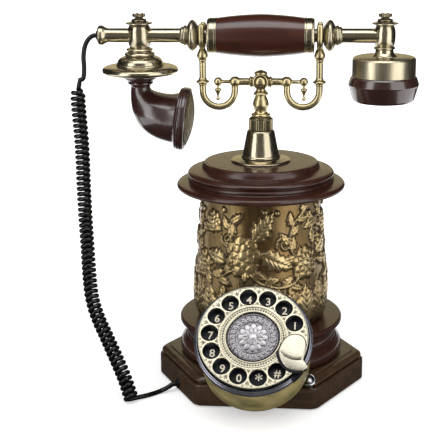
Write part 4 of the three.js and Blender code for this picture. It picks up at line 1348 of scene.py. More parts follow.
def cradle_arm(name, side):
    """The arm from the hub to its finial, and the drop that hangs from its ball."""
    arm = [
        (0, 4.2), (3.0, 4.2), (3.0, 5.6, 0.2), (4.0, 5.8, 0.2), (4.2, 6.4, 0.2), (3.5, 6.9, 0.2),
        (4.4, 7.4, 0.2), (4.4, 8.2, 0.2), (3.3, 8.6, 0.2), (2.9, 9.2), (2.9, 16.6),
        *bow((3.0, 16.8), (4.0, 18.6), (4.2, 20.5), (3.5, 22.8), (1.9, 24.2)), (1.45, 24.8), (1.45, 30.2),
        *bow((1.7, 30.6), (3.1, 32.0), (3.4, 33.7), (2.6, 35.8), (0, 37.1)),
    ]
    limb = turned(name + "_limb", arm, 48, at(0, 0, ARM_Z, 90 * side))
    drop = [
        (0, -15.0), *bow((0.9, -14.8), (1.55, -13.6), (1.1, -12.3)), (0.75, -11.9, 0.1), (0.8, -10.6),
        (1.2, -9.6), (2.7, -6.5, 0.2), (2.4, -5.6, 0.2), (1.1, -5.1, 0.2), (1.0, -2.8), (0, -2.8),
    ]
    pendant = turned(name + "_pendant", drop, 32, at(side * 33.7, 0, ARM_Z))
    dressed(joined(name + "_cradle_arm", [limb, pendant]), "brass_pale", "cradle", "brass", name + "_arm")


def cradle_hook(name, side):
    """The hook that bends down from the ball and up again to the fork, with its knop."""
    bend = (POST_X - BALL_X) / 2
    centre = (POST_X + BALL_X) / 2
    half_turn = [math.pi + i * math.pi / 12 for i in range(13)]
    route = [
        (side * BALL_X, 0, ARM_Z - 3.2),
        *[(side * (centre + bend * math.cos(turn)), 0, 239.6 + bend * math.sin(turn)) for turn in half_turn],
        (side * POST_X, 0, 250), (side * POST_X, 0, POST_TOP + 2.5),
    ]
    loop = bar(name + "_loop", route, 2.6)
    knop = [
        (0, 244.0), (2.9, 244.0), (3.3, 244.6, 0.2), (3.0, 245.1, 0.2),
        *bow((3.4, 245.4), (4.9, 246.3), (5.0, 247.3), (3.4, 248.5), steps=5), (3.0, 248.8, 0.2),
        (3.3, 249.3, 0.2), (2.9, 249.9), (0, 249.9),
    ]
    ring = turned(name + "_knop", knop, 48, at(side * POST_X, 0, 0))
    dressed(joined(name + "_cradle_hook", [loop, ring]), "brass_pale", "cradle", "brass", name + "_hook")


def cradle_fork(name, side):
    """The fork round the handset's neck, with its tips and the foot that it stands on."""
    neck, gap, prong = 5.15, 0.3, 2.3
    reach = neck + gap + prong
    upright = [(reach, HANDSET_Z + 1), (reach, 290), (reach, FORK_TIP - 1.0)]
    under = [math.pi + i * math.pi / 12 for i in range(1, 12)]
    outline = [(-y, z) for y, z in reversed(upright)]
    outline += [(reach * math.cos(turn), HANDSET_Z - 1.5 + (reach - 0.5) * math.sin(turn)) for turn in under]
    fork = [(side * POST_X, y, z) for y, z in outline + upright]
    thickness = [1.9, 2.45] + [2.35] * (len(fork) - 4) + [2.45, 1.9]
    prongs = bar(name + "_prongs", fork, thickness)
    tip = [(0, -2.2), (2.1, -1.4), *bow((2.2, -1.2), (2.0, 0.1), (1.2, 0.85), (0, 1.0), steps=4)]
    tips = [turned(name + "_tip", tip, 32, at(side * POST_X, y, FORK_TIP - 1.0)) for y in (-reach, reach)]
    ball = [
        (0, 262.2), (2.7, 262.2), (3.2, 263.6, 0.3), (2.9, 264.2, 0.2),
        *bow((3.2, 264.5), (4.1, 266.2), (4.2, 268.2), (3.4, 270.6), (2.4, 272.6)), (2.2, 275.0), (0, 275.4),
    ]
    foot = turned(name + "_foot", ball, 48, at(side * POST_X, 0, 0))
    made = joined(name + "_cradle_fork", [prongs, foot, *tips])
    dressed(made, "brass_pale", "cradle", "brass", name + "_fork")


class TELEPHONE_OT_cradle(bpy.types.Operator):
    """Model the baluster, its hub and the two hooks with their forks"""

    bl_idname = "telephone.cradle"
    bl_label = "Cradle"

    def execute(self, context):
        post = [
            (0, CRADLE_BOTTOM), (6.9, CRADLE_BOTTOM, 0.3),
            *bow((7.2, 220.1), (7.5, 221.0), (7.1, 221.9), steps=4), (5.2, 222.6, 0.4), (4.7, 223.4),
            *bow((4.7, 224.0), (5.7, 226.6), (6.3, 229.4), (5.6, 232.6), (4.2, 235.9)), (4.0, 236.6, 0.2),
            (5.7, 237.1, 0.2), (5.8, 238.0, 0.2), *bow((5.3, 238.6), (3.9, 240.2), (3.4, 241.9)),
            (4.5, 243.4, 0.4), (4.6, 251.6, 0.3), (3.6, 252.4, 0.3), (5.0, 253.0, 0.3), (5.0, 254.6, 0.4),
            (3.0, 255.6, 0.6), (0, CRADLE_TOP),
        ]
        dressed(turned("cradle_post", post, 64), "brass_pale", "cradle", "brass", "cradle_baluster")
        seal = [
            (0, -1.2), (5.8, -1.2), (6.1, -0.4, 0.2), *bow((6.15, 0.4), (5.8, 1.3), (5.2, 1.6), steps=4),
            (4.8, 1.1, 0.2), (4.4, 0.2, 0.2), *bow((4.2, 0.7), (3.6, 2.0), (2.0, 2.9), (0, 3.2)),
        ]
        front = turned("hub_front", seal, 64, at(0, -5.0, ARM_Z + 0.6, 90, "X"))
        back = turned("hub_back", seal, 64, at(0, 5.0, ARM_Z + 0.6, -90, "X"))
        dressed(joined("hub_seals", [front, back]), "brass_pale", "cradle", "brass", "hub_medallion")
        for name, side in SIDES:
            cradle_arm(name, side)
            cradle_hook(name, side)
            cradle_fork(name, side)
        return {"FINISHED"}


# ---- Handset -------------------------------------------------------------------------------------


class TELEPHONE_OT_grip(bpy.types.Operator):
    """Turn the wooden grip, its ferrules and the beads beside the forks"""

    bl_idname = "telephone.grip"
    bl_label = "Grip"

    def execute(self, context):
        swell = [(15.0, -24), (16.1, -11), (16.5, 0), (16.1, 11), (15.0, 24)]
        belly = bow((13.7, -GRIP_HALF), *swell, (13.7, GRIP_HALF), steps=8)
        grip = turned("grip", [(0, -GRIP_HALF), *belly, (0, GRIP_HALF)], 96, towards(1))
        dressed(grip, "wood_grip", "handset", "dark_wood", "wood_grip")
        for name, side in SIDES:
            ferrule = [
                (0, GRIP_HALF + 0.02), (13.9, GRIP_HALF + 0.02, 0.25), (13.95, GRIP_HALF + 1.2, 0.2),
                (13.6, GRIP_HALF + 1.5, 0.1), (13.75, 36.0, 0.2), (13.75, 39.6, 0.3), (13.3, 40.0, 0.1),
                (13.5, 40.4, 0.2), (13.0, 41.4, 0.5), (5.2, 41.4), (0, 41.4),
            ]
            made = turned(name + "_end_ferrule", ferrule, 96, towards(side))
            dressed(made, "brass", "handset", "brass", name + "_ferrule")
            bead = [
                (0, 41.4), (5.15, 41.4), (5.15, 48.2, 0.4), (7.6, 48.8, 0.3),
                *bow((8.2, 49.4), (10.6, 51.0), (12.15, 53.1), (11.3, 55.2), (8.0, 57.2)), (7.1, 57.5, 0.2),
                (7.3, 57.9, 0.1), *bow((7.6, 58.2), (8.0, 59.0), (7.6, 59.9), steps=4), (6.7, 60.2, 0.1),
                *bow((6.8, 60.4), (7.0, 61.2), (6.5, 62.0), steps=4), (5.9, ARM_TUBE_START),
                (0, ARM_TUBE_START),
            ]
            made = turned(name + "_neck_bead", bead, 72, towards(side))
            dressed(made, "brass_soft", "handset", "brass", name + "_bead")
        return {"FINISHED"}


def crown_nut(name, x):
    """A small nut with a waist and six rounded lugs, on top of a socket."""
    top = SOCKET_TOP
    stem = [
        (0, top), (5.7, top, 0.2), *bow((5.9, top + 0.5), (5.8, top + 1.1), (5.0, top + 1.6), steps=4),
        (3.3, top + 1.9, 0.3), (2.9, top + 2.5, 0.3), (3.9, top + 3.0, 0.3), (4.0, top + 3.5),
        (4.1, top + 4.9, 0.3), (3.2, top + 5.5, 0.4), (0, top + 5.2),
    ]
    made = turned(name, stem, 96, at(x, 0, HANDSET_Z))

    def lugs(corners):
        angle = np.arctan2(corners[:, 1], corners[:, 0] - x)
        out = np.hypot(corners[:, 1], corners[:, 0] - x)
        band = np.clip(1 - np.abs(corners[:, 2] - HANDSET_Z - top - 4.3) / 1.1, 0, 1)
        return np.where(out > 2.6, (band > 0) * (0.5 + 0.5 * np.cos(angle * 6)) ** 0.7, 0)

    carve(made, lugs, 1.1 * MM)
    return smoothed(made, 45)


class TELEPHONE_OT_arms(bpy.types.Operator):
    """Turn the two brass arms, their upright sockets and crown nuts"""

    bl_idname = "telephone.arms"
    bl_label = "Handset Arms"

    def execute(self, context):
        radius = 5.55
        left = [
            (0, ARM_TUBE_START), (radius, ARM_TUBE_START), (radius, 119.8),
            *bow((5.6, 120.2), (6.3, 122.0), (7.5, 123.9), steps=5), (7.8, 125.0, 0.3), (7.7, 126.8, 0.4),
            (6.6, 127.9, 0.4), (4.6, LEFT_END, 0.2), (2.9, LEFT_END), (2.9, LEFT_END - 6), (0, LEFT_END - 6),
        ]
        tube_left = turned("left_tube", left, 64, towards(-1))
        dressed(tube_left, "brass_long", "handset", "brass", "left_arm_tube")
        lip = bow((3.6, LEFT_END + 0.1), (3.5, LEFT_END + 0.9), (2.4, LEFT_END + 1.5), steps=4)
        bush = [(CORD_HOLE, 120), (2.7, 120), (2.7, LEFT_END), *lip, (CORD_HOLE, LEFT_END + 1.6)]
        bush = turned("cord_bush", bush, 48, towards(-1))
        dressed(bush, "cord", "handset", "cord_rubber", "handset_grommet")
        right = [(0, ARM_TUBE_START), (radius, ARM_TUBE_START), (radius, SOCKET_X - 2), (0, SOCKET_X - 2)]
        tube_right = turned("right_tube", right, 64, towards(1))
        dressed(tube_right, "brass_long", "handset", "brass", "right_arm_tube")
        large = [
            (0, -9.6), (7.6, -9.6, 0.3),
            *bow((7.7, -9.0), (8.7, -5.6), (9.2, -1.5), (9.1, 3.2), (8.4, 6.4), (7.4, 8.1)), (7.0, 8.5, 0.2),
            (8.8, 8.8, 0.3), (10.5, 9.2, 0.3), (10.4, 9.9, 0.3), (8.0, 10.4, 0.4), (5.8, SOCKET_TOP),
            (0, SOCKET_TOP),
        ]
        small = [
            (0, -8.2), (6.9, -8.2, 0.3), *bow((7.0, -7.8), (7.9, -4.4), (8.2, 0), (7.9, 4.4), (6.9, 7.6)),
            (6.6, 8.1, 0.2), (8.2, 8.6, 0.3), (10.1, 9.1, 0.3), (10.0, 9.8, 0.3), (7.6, 10.4, 0.4),
            (5.8, SOCKET_TOP), (0, SOCKET_TOP),
        ]
        for (name, side), outline in zip(SIDES, (large, small)):
            made = turned(name + "_barrel", outline, 72, at(side * SOCKET_X, 0, HANDSET_Z))
            dressed(made, "brass", "handset", "brass", name + "_socket")
        for name, side in SIDES:
            made = crown_nut(name + "_crown_nut", side * SOCKET_X)
            dressed(made, "brass_dark", "handset", "brass", name + "_top_nut")
        return {"FINISHED"}


def perforation(x, y, pitch, radius):
    """1 in the round holes of a staggered pattern, 0 between them."""
    row = np.round(y / (pitch * 0.866))
    shifted = x - (row % 2) * pitch / 2
    near = np.hypot(shifted - np.round(shifted / pitch) * pitch, y - row * pitch * 0.866)
    return np.clip((radius - near) / 0.25 + 0.5, 0, 1)


def ring_between(near, far):
    """The place of a circle of radius 1 that stands upright between two points of the XZ plane."""
    across = Vector((far[0] - near[0], 0, far[1] - near[1]))
    centre = Vector((near[0], 0, near[1])) + across / 2
    axes = Matrix((across, Vector((0, across.length, 0)), across.cross(Vector((0, 1, 0))))).transposed()
    return Matrix.Translation(centre * MM) @ (axes * (MM / 2)).to_4x4()


class TELEPHONE_OT_mouthpiece(bpy.types.Operator):
    """Model the saucer, the curved horn, its ribbed rim and the pierced dome"""

    bl_idname = "telephone.mouthpiece"
    bl_label = "Mouthpiece"

    def execute(self, context):
        saucer = [
            (0, -29.0), (13.4, -29.0), *bow((14.5, -28.9), (20, -29.1), (24.6, -29.8), steps=4),
            *bow(
                (27.0, -29.8), (29.2, -28.9), (29.9, -27.1), (29.2, -25.3), (27.3, -24.2), (24.8, -23.6),
                steps=4,
            ),
            *bow((23.0, -23.4), (21.2, -23.6), (19.6, -23.4), steps=4), (18.9, -23.0, 0.2),
            (18.9, -22.2, 0.2), (18.2, -21.8, 0.2),
            *bow((18.0, -21.2), (17.3, -19.4), (15.8, -17.7), (13.4, -16.5), (11.4, -16.0)),
            (10.9, -15.8, 0.1), *bow((11.4, -15.4), (11.9, -14.4), (11.3, -13.4), steps=4),
            (9.3, -12.9, 0.2), (9.0, -12.3, 0.2), *bow((9.9, -11.8), (10.5, -10.9), (9.9, -10.1), steps=4),
            (8.2, -9.6, 0.2), (0, -9.6),
        ]
        made = turned("saucer", saucer, 120, at(-SOCKET_X, 0, HANDSET_Z))
        dressed(made, "brass", "handset", "brass", "mouthpiece_saucer")
        collar = [
            (0, 242.8), (8.0, 242.8), *bow((8.3, 243.6), (8.9, 244.6), (9.4, 245.2), steps=4),
            (9.9, 245.4, 0.2), (9.9, 246.4, 0.3), (9.2, 246.8, 0.1),
            *bow((10.0, 247.2), (11.0, 247.9), (11.6, 248.9), steps=4), (12.9, 249.4, 0.3),
            (13.2, 250.4, 0.4), (13.4, 254.0), (0, 254.0),
        ]
        collar = turned("horn_collar", collar, 72, at(-SOCKET_X, 0, 0))
        inner = bow(
            (-87.6, 247), (-87.7, 243.5), (-87.4, 241.6), (-86.4, 240.4), (-85.0, 239.6), (-83.3, 239),
            (-81.2, 238.4), (-78.8, 237.8), (-76.2, 237.3), (-73.4, 237), (-70.6, 236.9), (-67.6, 237.2),
            (-63.9, 237.9), steps=4,
        )
        outer = bow(
            (-102.8, 247), (-102.9, 242), (-103.2, 236), (-103, 230), (-102.1, 224), (-100.2, 218),
            (-97.4, 212.5), (-93.4, 207.8), (-88.4, 204), (-83, 201.3), (-78, 199.5), (-73.4, 198.3),
            (-69.1, 197.5), steps=4,
        )
        elbow = lofted("horn_elbow", [ring_between(near, far) for near, far in zip(inner, outer)], 72)
        dressed(joined("horn", [elbow, collar]), "horn", "handset", "horn_brown", "mouthpiece_horn")
        rim = [
            (17.5, -0.8), (20.8, -0.8, 0.2), (21.4, 0.0, 0.2), (23.7, 0.4, 0.4), (24.4, 1.0, 0.3),
            (24.4, 1.8, 0.2), (23.9, 2.1, 0.1), (25.0, 2.5, 0.3), (25.2, 3.6, 0.3), (24.7, 4.2, 0.1),
            (25.2, 4.7, 0.3), (25.2, 6.2, 0.3), (24.6, 6.6, 0.1), (24.9, 7.0, 0.2), (24.6, 7.9, 0.3),
            (23.2, 8.3, 0.3), (22.9, 7.8, 0.1), (17.5, 7.8),
        ]
        dressed(turned("horn_rim", rim, 120, RIM_PLACE), "horn", "handset", "horn_brown", "mouthpiece_rim")
        rings = 52
        skin = [(22.8 * (i / rings), 12.2 - 4.9 * (i / rings) ** 2.2) for i in range(rings, -1, -1)]
        made = turned("pierced_dome", [(0, 6.8), *skin], 280, RIM_PLACE)

        def holes(corners):
            x, y, z = seen_from(RIM_PLACE, corners).T
            pierced = np.where(np.hypot(x, y) < 20.4, 1 - perforation(x, y, 2.3, 0.72), 1.0)
            return pierced * (z > 7.0)

        carve(made, holes, 0.9 * MM)
        smoothed(made, 50)
        dressed(made, "brass_dark", "handset", "gold_relief", "mouthpiece_grille")
        return {"FINISHED"}


class TELEPHONE_OT_earpiece(bpy.types.Operator):
    """Turn the brass drum of the earpiece and its brown cap"""

    bl_idname = "telephone.earpiece"
    bl_label = "Earpiece"

    def execute(self, context):
        place = at(SOCKET_X, 0, HANDSET_Z)
        neck = [
            (0, -16.0), (9.6, -16.0), (9.4, -15.3, 0.2),
            *bow((8.6, -14.7), (7.4, -13.2), (6.9, -11.3), (7.0, -10.2), steps=5), (8.2, -9.7, 0.2),
            (8.3, -8.9, 0.2), (7.0, -8.2, 0.3), (0, -8.0),
        ]
        dressed(turned("ear_neck", neck, 64, place), "brass", "handset", "brass", "earpiece_neck")
        drum = [
            (0, -31.2), (24.2, -31.2), (24.4, -30.6, 0.2), (24.35, -17.6, 0.9), (23.2, -16.3, 0.7),
            (21.6, -15.9, 0.4), (21.2, -15.7), (0, -15.7),
        ]
        dressed(turned("ear_drum", drum, 120, place), "brass_soft", "handset", "brass", "earpiece_drum")
        cap = [
            (0, -46.2), *bow((6, -46.4), (14, -47.4), (19.0, -49.4)), (20.6, -50.8, 0.8), (22.6, -50.4, 0.8),
            (23.8, -48.9, 0.7), (26.7, -38.6, 0.6), (27.1, -37.6, 0.3), (27.1, -36.8, 0.3),
            (25.6, -32.0, 0.5), (24.7, -31.0, 0.3), (22, -31.0), (0, -31.0),
        ]
        made = turned("ear_cap", cap, 120, place)
        dressed(made, "horn", "handset", "horn_brown", "earpiece_cap")
        dots = []
        pit = [(0, 0.9), (0.9, 0.9), (1.0, -0.1, 0.1), (1.3, -0.2, 0.1), (1.3, 1.2), (0, 1.2)]
        for ring, count in ((0, 1), (5.0, 6), (10.0, 12)):
            height = -46.3 - ring**2 * 0.006
            for i in range(count):
                spot = place @ at(*on_circle(ring, 360 * i / count), height)
                dots.append(turned("sound_hole", pit, 12, spot))
        dressed(joined("sound_holes", dots), "plate", "handset", "dial_black")
        return {"FINISHED"}


# ---- Small pieces --------------------------------------------------------------------------------


class TELEPHONE_OT_button(bpy.types.Operator):
    """Turn the chrome push button and its ring on the plinth"""

    bl_idname = "telephone.button"
    bl_label = "Push Button"

    def execute(self, context):
        tilt = Vector((0, 0, 1)).rotation_difference(BUTTON_OUT).to_matrix().to_4x4()
        place = Matrix.Translation(BUTTON_SEAT * MM) @ tilt
        bezel = [
            (4.05, -5), (5.6, -5), (5.6, 0.8, 0.2),
            *bow((6.1, 1.0), (6.2, 1.6), (5.4, 2.2), (4.6, 2.2), steps=4), (4.1, 1.7, 0.2), (4.05, 0.6),
        ]
        dressed(turned("button_ring", bezel, 64, place), "chrome", "base", "chrome", "button_bezel")
        cap = [(0, -3.2), (3.8, -3.2), (3.8, 1.6, 0.3), *bow((3.6, 2.2), (2.4, 2.8), (0, 3.0), steps=5)]
        dressed(turned("button_cap", cap, 64, place), "chrome", "button", "chrome", "function_button")
        return {"FINISHED"}


class TELEPHONE_OT_line_socket(bpy.types.Operator):
    """Model the line socket at the back and the bush where the cord goes in"""

    bl_idname = "telephone.line_socket"
    bl_label = "Line Socket"

    def execute(self, context):
        low, high = span("line_jack")
        centre = (low + high) / 2
        deselect()
        bpy.ops.mesh.primitive_cube_add(size=MM, location=centre * MM)
        made = named("socket_block")
        made.scale = high - low
        bpy.ops.object.transform_apply(location=True, rotation=True, scale=True)
        edit("FACE")
        select_where(made, lambda f: f.normal.y > 0.9, "faces")
        bpy.ops.mesh.inset(thickness=1.9 * MM)
        bpy.ops.transform.resize(value=(0.98, 1, 0.76))
        bpy.ops.mesh.extrude_region_move(TRANSFORM_OT_translate={"value": (0, -9.0 * MM, 0)})
        sealed()
        applied(made, "BEVEL", width=0.35 * MM, segments=2, limit_method="ANGLE")
        smoothed(made, 30)
        dressed(made, "cream", "base", "jack_cream", "line_jack")
        wires = []
        for i in range(4):
            x = (i - 1.5) * 1.3
            path = [
                (x, high.y - deep, centre.z + rise) for deep, rise in ((8.4, 3.2), (5.5, 1.4), (2.6, 0.4))
            ]
            wires.append(bar("contact", path, 0.25, sides=8))
        dressed(joined("socket_contacts", wires), "brass_pale", "base", "brass")
        lip = bow((3.9, 0.1), (3.9, 0.9), (2.8, 1.4), steps=4)
        bush = [(CORD_HOLE, -5.9), (3.0, -5.9), (3.0, 0.0), *lip, (CORD_HOLE, 1.5)]
        place = Matrix.Translation(ENTRY * MM) @ ENTRY_OUT.to_track_quat("Z", "Y").to_matrix().to_4x4()
        dressed(turned("entry_bush", bush, 48, place), "cord", "base", "cord_rubber", "cord_grommet")
        return {"FINISHED"}


# ---- Cord ----------------------------------------------------------------------------------------

# The middle line of the curly part, from its top end down to the table.
COIL_SPINE = [
    (-145.4, 0, 240.4), (-146.1, 0, 234), (-145.7, 0, 221), (-144.7, 0, 202), (-144.3, 0, 184),
    (-144.3, -0.3, 163), (-143.6, -1.8, 135), (-141.4, -8, 109), (-138.6, -17.6, 86.5), (-135.4, -25, 72),
    (-129.6, -32.6, 59), (-121.6, -41, 46.4), (-111.8, -51.6, 31), (-104.5, -59.3, 18.4),
    (-98.6, -65.5, 4.3),
]

# The lead from the left end of the handset down to the curly part.
HANDSET_LEAD = [
    (-130.3, 0, 283), (-132.6, 0, 282.4), (-136, 0, 279.6), (-138.8, 0, 274.4), (-140.3, 0, 266),
    (-140.2, 0, 257), (-141.5, 0, 248.4),
]

# The number of curls, and the steps in which each is drawn.
CURLS = 60
CURL_STEPS = 20


def even(points, count):
    """Points spaced evenly along a smooth line through the given ones."""
    knots = np.array([tuple(point) for point in points], float)
    knots = np.vstack([2 * knots[0] - knots[1], knots, 2 * knots[-1] - knots[-2]])
    t = np.linspace(0, 1, 60, endpoint=False)[:, None]
    line = []
    for a, b, c, d in zip(knots, knots[1:], knots[2:], knots[3:]):
        ab, bc, cd = (math.dist(p, q) ** 0.5 for p, q in ((a, b), (b, c), (c, d)))
        leave = bc * ((b - a) / ab - (c - a) / (ab + bc) + (c - b) / bc)
        reach = bc * ((c - b) / bc - (d - b) / (bc + cd) + (d - c) / cd)
        square, cube = 3 * (c - b) - 2 * leave - reach, 2 * (b - c) + leave + reach
        line.append(b + leave * t + square * t**2 + cube * t**3)
    line = np.vstack([*line, knots[-2]])
    far = np.concatenate([[0], np.cumsum(np.linalg.norm(np.diff(line, axis=0), axis=1))])
    spots = np.linspace(0, far[-1], count + 1)
    return np.stack([np.interp(spots, far, line[:, k]) for k in range(3)], axis=1)


def curls(radius, lowest):
    """The helix round the coil's middle line: it opens in its first turn and lies down in its last."""
    line = even(COIL_SPINE, CURLS * CURL_STEPS)
    along = np.gradient(line, axis=0)
    along /= np.linalg.norm(along, axis=1)[:, None]
    across = np.array((1.0, 0, 0)) - along[:, :1] * along
    across /= np.linalg.norm(across, axis=1)[:, None]
    steps = np.arange(len(line))
    angle = LEAD_HEADING + math.pi / 2 + (len(line) - 1 - steps) * 2 * math.pi / CURL_STEPS
    size = radius * np.sin(np.minimum(1, steps / CURL_STEPS) * math.pi / 2)
    aside = np.cross(across, along)
    line = line + across * (size * np.cos(angle))[:, None] + aside * (size * np.sin(angle))[:, None]
    line[:, 2] = np.maximum(line[:, 2], lowest)
    return [Vector(point) for point in line]


class TELEPHONE_OT_cord(bpy.types.Operator):
    """Wind the curly cord between the handset and the plinth"""

    bl_idname = "telephone.cord"
    bl_label = "Curly Cord"

    def execute(self, context):
        shape = context.scene.telephone_shape
        thick = shape.cord_diameter / MM
        coil = curls(shape.curl_radius / MM, thick / 2 + 0.1)
        up = Vector((0.2, 0, 0.98))
        heading = Vector((math.cos(LEAD_HEADING), math.sin(LEAD_HEADING), 0))
        top, end = coil[0] + up * thick, coil[-1] + heading * thick
        upper = even([*HANDSET_LEAD, top + up * thick], 40)
        mouth = ENTRY + ENTRY_OUT * 1.3
        rise = ((14, 2.2), (8, 4), (thick, ENTRY.z))
        spots = [(mouth + ENTRY_OUT * away).xy.to_3d() + Vector((0, 0, z)) for away, z in rise]
        lower = even([end + heading * thick, end + heading * 12, *spots], 40)
        path = [*map(Vector, upper), top, *coil, end, *map(Vector, lower), mouth, mouth - ENTRY_OUT * 2]
        made = tube("cord", path, thick / 2, sides=10)
        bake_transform(made)
        dressed(made, "cord", None, "cord_rubber", "handset_lead", "curly_coil", "base_lead")
        return {"FINISHED"}


class TELEPHONE_OT_inner_pieces(bpy.types.Operator):
    """Give the pieces that stay as the frame has them their materials"""

    bl_idname = "telephone.inner_pieces"
    bl_label = "Inner Pieces"

    def execute(self, context):
        kinds = {
            "felt": ["base_mat"],
            "board": ["circuit_board"],
            "plate": ["hook_switch"],
            "brass": ["guide_bush"],
            "cord": ["cord_grommet"],
            "steel": [
                "bottom_plate", "ballast_weight", "ringer_speaker", "hook_spring", "plunger_rod",
                "dial_spring_case", "dial_shaft", "microphone_capsule", "receiver_capsule",
            ],
        }
        for finish, nodes in kinds.items():
            for node in nodes:
                painted(frame["nodes"][node], finish)
        return {"FINISHED"}


# ---- Stage ---------------------------------------------------------------------------------------

# The camera: its place, its angles in radians, and its focal length in pixels of the picture's width.
CAMERA_PLACE = Vector((58.45, -918.70, 391.62))
CAMERA_YAW, CAMERA_PITCH, CAMERA_ROLL = -0.1059, 0.2707, -0.0110
PICTURE_WIDTH = 425
FOCAL_PIXELS = 1181.75
SENSOR_WIDTH = 36

BLACK, WHITE = (0, 0, 0, 1), (1, 1, 1, 1)

# Each lamp: its place and what it looks at, its size in metres and the radiance of its face.
SOFTBOXES = {
    "left_softbox": ((-850, -850, 560), (0, 0, 190), (0.52, 1.2), 2.3),
    "right_softbox": ((930, -755, 560), (0, 0, 190), (0.95, 1.3), 1.3),
    "top_softbox": ((0, -400, 1300), (0, 0, 283), (1.1, 0.66), 2.7),
}

# Each card: its place and what it looks at, its size in metres and its tone.
CARDS = {
    "front_card": ((-12, -620, 500), (-12, 0, 500), (0.70, 1.0), (0.18, 0.17, 0.155)),
    "left_flag": ((-676, 181, 600), (0, 0, 600), (1.4, 1.2), (0.02, 0.02, 0.02)),
    "right_flag": ((624, 318, 600), (0, 0, 600), (1.3, 1.2), (0.02, 0.02, 0.02)),
    "table_card": ((0, -260, 0.5), (0, -260, -1), (0.70, 0.86), (0.04, 0.04, 0.04)),
    "low_flag": ((0, 900, 95), (0, 0, 95), (1.8, 0.19), (0.04, 0.04, 0.04)),
    "back_card": ((0, 1500, 460), (0, 0, 190), (1.6, 0.9), (0.66, 0.56, 0.34)),
    "back_flag": ((0, 803, 1430), (0, 0, 283), (1.8, 1.62), (0.03, 0.03, 0.03)),
}


def facing(place, target):
    """A place in millimetres from which a lamp or a card looks at the target."""
    aim = (Vector(target) - Vector(place)).to_track_quat("-Z", "Y").to_matrix().to_4x4()
    return Matrix.Translation(Vector(place) * MM) @ aim


def softbox(name, place, target, size, radiance):
    """A rectangular lamp, given by its size in metres and by how bright its face is."""
    bpy.ops.object.light_add(type="AREA")
    lamp = named(name)
    lamp.data.shape = "RECTANGLE"
    lamp.data.size, lamp.data.size_y = size
    lamp.data.energy = radiance * math.pi * size[0] * size[1]
    lamp.matrix_world = facing(place, target)


def card(name, place, target, size, tone):
    """A studio card that only shows in gloss: it neither lights nor shades anything."""
    deselect()
    bpy.ops.mesh.primitive_plane_add(size=1)
    made = named(name)
    made.matrix_world = facing(place, target) @ Matrix.Diagonal((*size, 1, 1))
    material, tree, shader = new_material(name)
    feed(tree, shader, {
        "Base Color": BLACK,
        "Emission Color": opaque(tone),
        "Emission Strength": 1.0,
        "Roughness": 1.0,
    })
    made.data.materials.append(material)
    for kind in ("camera", "diffuse", "transmission", "volume_scatter", "shadow"):
        setattr(made, "visible_" + kind, False)


def looked_at(tree):
    """1 for the rays by which the camera, a reflection or a clear piece sees the background."""
    path = add(tree, "ShaderNodeLightPath")
    looks = math_node(tree, "MAXIMUM", path.outputs["Is Camera Ray"], path.outputs["Is Transmission Ray"])
    return math_node(tree, "MAXIMUM", looks, path.outputs["Is Glossy Ray"])


def floor():
    """A pale floor that keeps the shadow by the object and turns white further out."""
    deselect()
    bpy.ops.mesh.primitive_plane_add(size=12)
    made = named("floor")
    material, tree, shader = new_material("pale_floor")
    away = add(tree, "ShaderNodeVectorMath", {0: object_place(tree)}, operation="LENGTH").outputs["Value"]
    glow = math_node(tree, "MULTIPLY", looked_at(tree), ramp(tree, away, 0.08, 0.40, 0.42, 1.0))
    feed(tree, shader, {
        "Base Color": (0.9, 0.9, 0.9, 1),
        "Roughness": 1.0,
        "Emission Color": WHITE,
        "Emission Strength": glow,
    })
    made.data.materials.append(material)


def set_camera(scene):
    """Adds the camera that sees the telephone as it stands in the picture."""
    bpy.ops.object.camera_add(location=CAMERA_PLACE * MM)
    camera = named("camera")
    level = math.cos(CAMERA_PITCH)
    forward = Vector((math.sin(CAMERA_YAW) * level, math.cos(CAMERA_YAW) * level, -math.sin(CAMERA_PITCH)))
    aim = forward.to_track_quat("-Z", "Y").to_matrix().to_4x4()
    roll = Matrix.Rotation(CAMERA_ROLL, 4, "Z")
    camera.matrix_world = Matrix.Translation(CAMERA_PLACE * MM) @ aim @ roll
    camera.data.sensor_fit = "HORIZONTAL"
    camera.data.sensor_width = SENSOR_WIDTH
    camera.data.lens = SENSOR_WIDTH * FOCAL_PIXELS / PICTURE_WIDTH
    camera.data.clip_end = 20
    scene.camera = camera


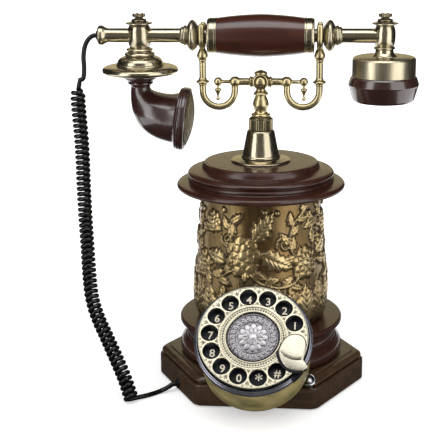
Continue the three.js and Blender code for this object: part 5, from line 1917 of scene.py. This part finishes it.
class TELEPHONE_OT_stage(bpy.types.Operator):
    """Set the floor, the soft lights, the studio cards, the background and the camera"""

    bl_idname = "telephone.stage"
    bl_label = "Stage"

    def execute(self, context):
        scene = context.scene
        scene.view_settings.view_transform = "Standard"
        floor()
        world = bpy.data.worlds.new("studio")
        world.use_nodes = True
        scene.world = world
        tree = world.node_tree
        strength = ramp(tree, looked_at(tree), 0, 1, 0.5, 1.0)
        feed(tree, tree.nodes["Background"], {"Strength": strength, "Color": WHITE})
        for name, lamp in SOFTBOXES.items():
            softbox(name, *lamp)
        for name, board in CARDS.items():
            card(name, *board)
        set_camera(scene)
        return {"FINISHED"}


# ---- Panel and registration ----------------------------------------------------------------------

OPERATORS = (
    TELEPHONE_OT_stage,
    TELEPHONE_OT_cord,
    TELEPHONE_OT_plinth,
    TELEPHONE_OT_turned_wood,
    TELEPHONE_OT_barrel,
    TELEPHONE_OT_column,
    TELEPHONE_OT_dial_housing,
    TELEPHONE_OT_finger_wheel,
    TELEPHONE_OT_medallion,
    TELEPHONE_OT_finger_stop,
    TELEPHONE_OT_cradle,
    TELEPHONE_OT_grip,
    TELEPHONE_OT_arms,
    TELEPHONE_OT_mouthpiece,
    TELEPHONE_OT_earpiece,
    TELEPHONE_OT_button,
    TELEPHONE_OT_line_socket,
    TELEPHONE_OT_inner_pieces,
)


class TELEPHONE_PT_panel(bpy.types.Panel):
    bl_idname = "TELEPHONE_PT_panel"
    bl_label = "Antique Desk Telephone"
    bl_space_type = "VIEW_3D"
    bl_region_type = "UI"
    bl_category = "Telephone"

    def draw(self, context):
        for settings in (context.scene.telephone_shape, context.scene.telephone_finish):
            box = self.layout.box()
            for key in settings.__annotations__:
                box.prop(settings, key)
        for operator in OPERATORS:
            self.layout.operator(operator.bl_idname)


CLASSES = (TELEPHONE_PG_shape, TELEPHONE_PG_finish, *OPERATORS, TELEPHONE_PT_panel)


def register():
    for item in CLASSES:
        bpy.utils.register_class(item)
    bpy.types.Scene.telephone_shape = PointerProperty(type=TELEPHONE_PG_shape)
    bpy.types.Scene.telephone_finish = PointerProperty(type=TELEPHONE_PG_finish)


def unregister():
    del bpy.types.Scene.telephone_finish
    del bpy.types.Scene.telephone_shape
    for item in reversed(CLASSES):
        bpy.utils.unregister_class(item)


def main():
    register()
    for operator in OPERATORS:
        group, name = operator.bl_idname.split(".")
        getattr(getattr(bpy.ops, group), name)()


if __name__ == "__main__":
    main()
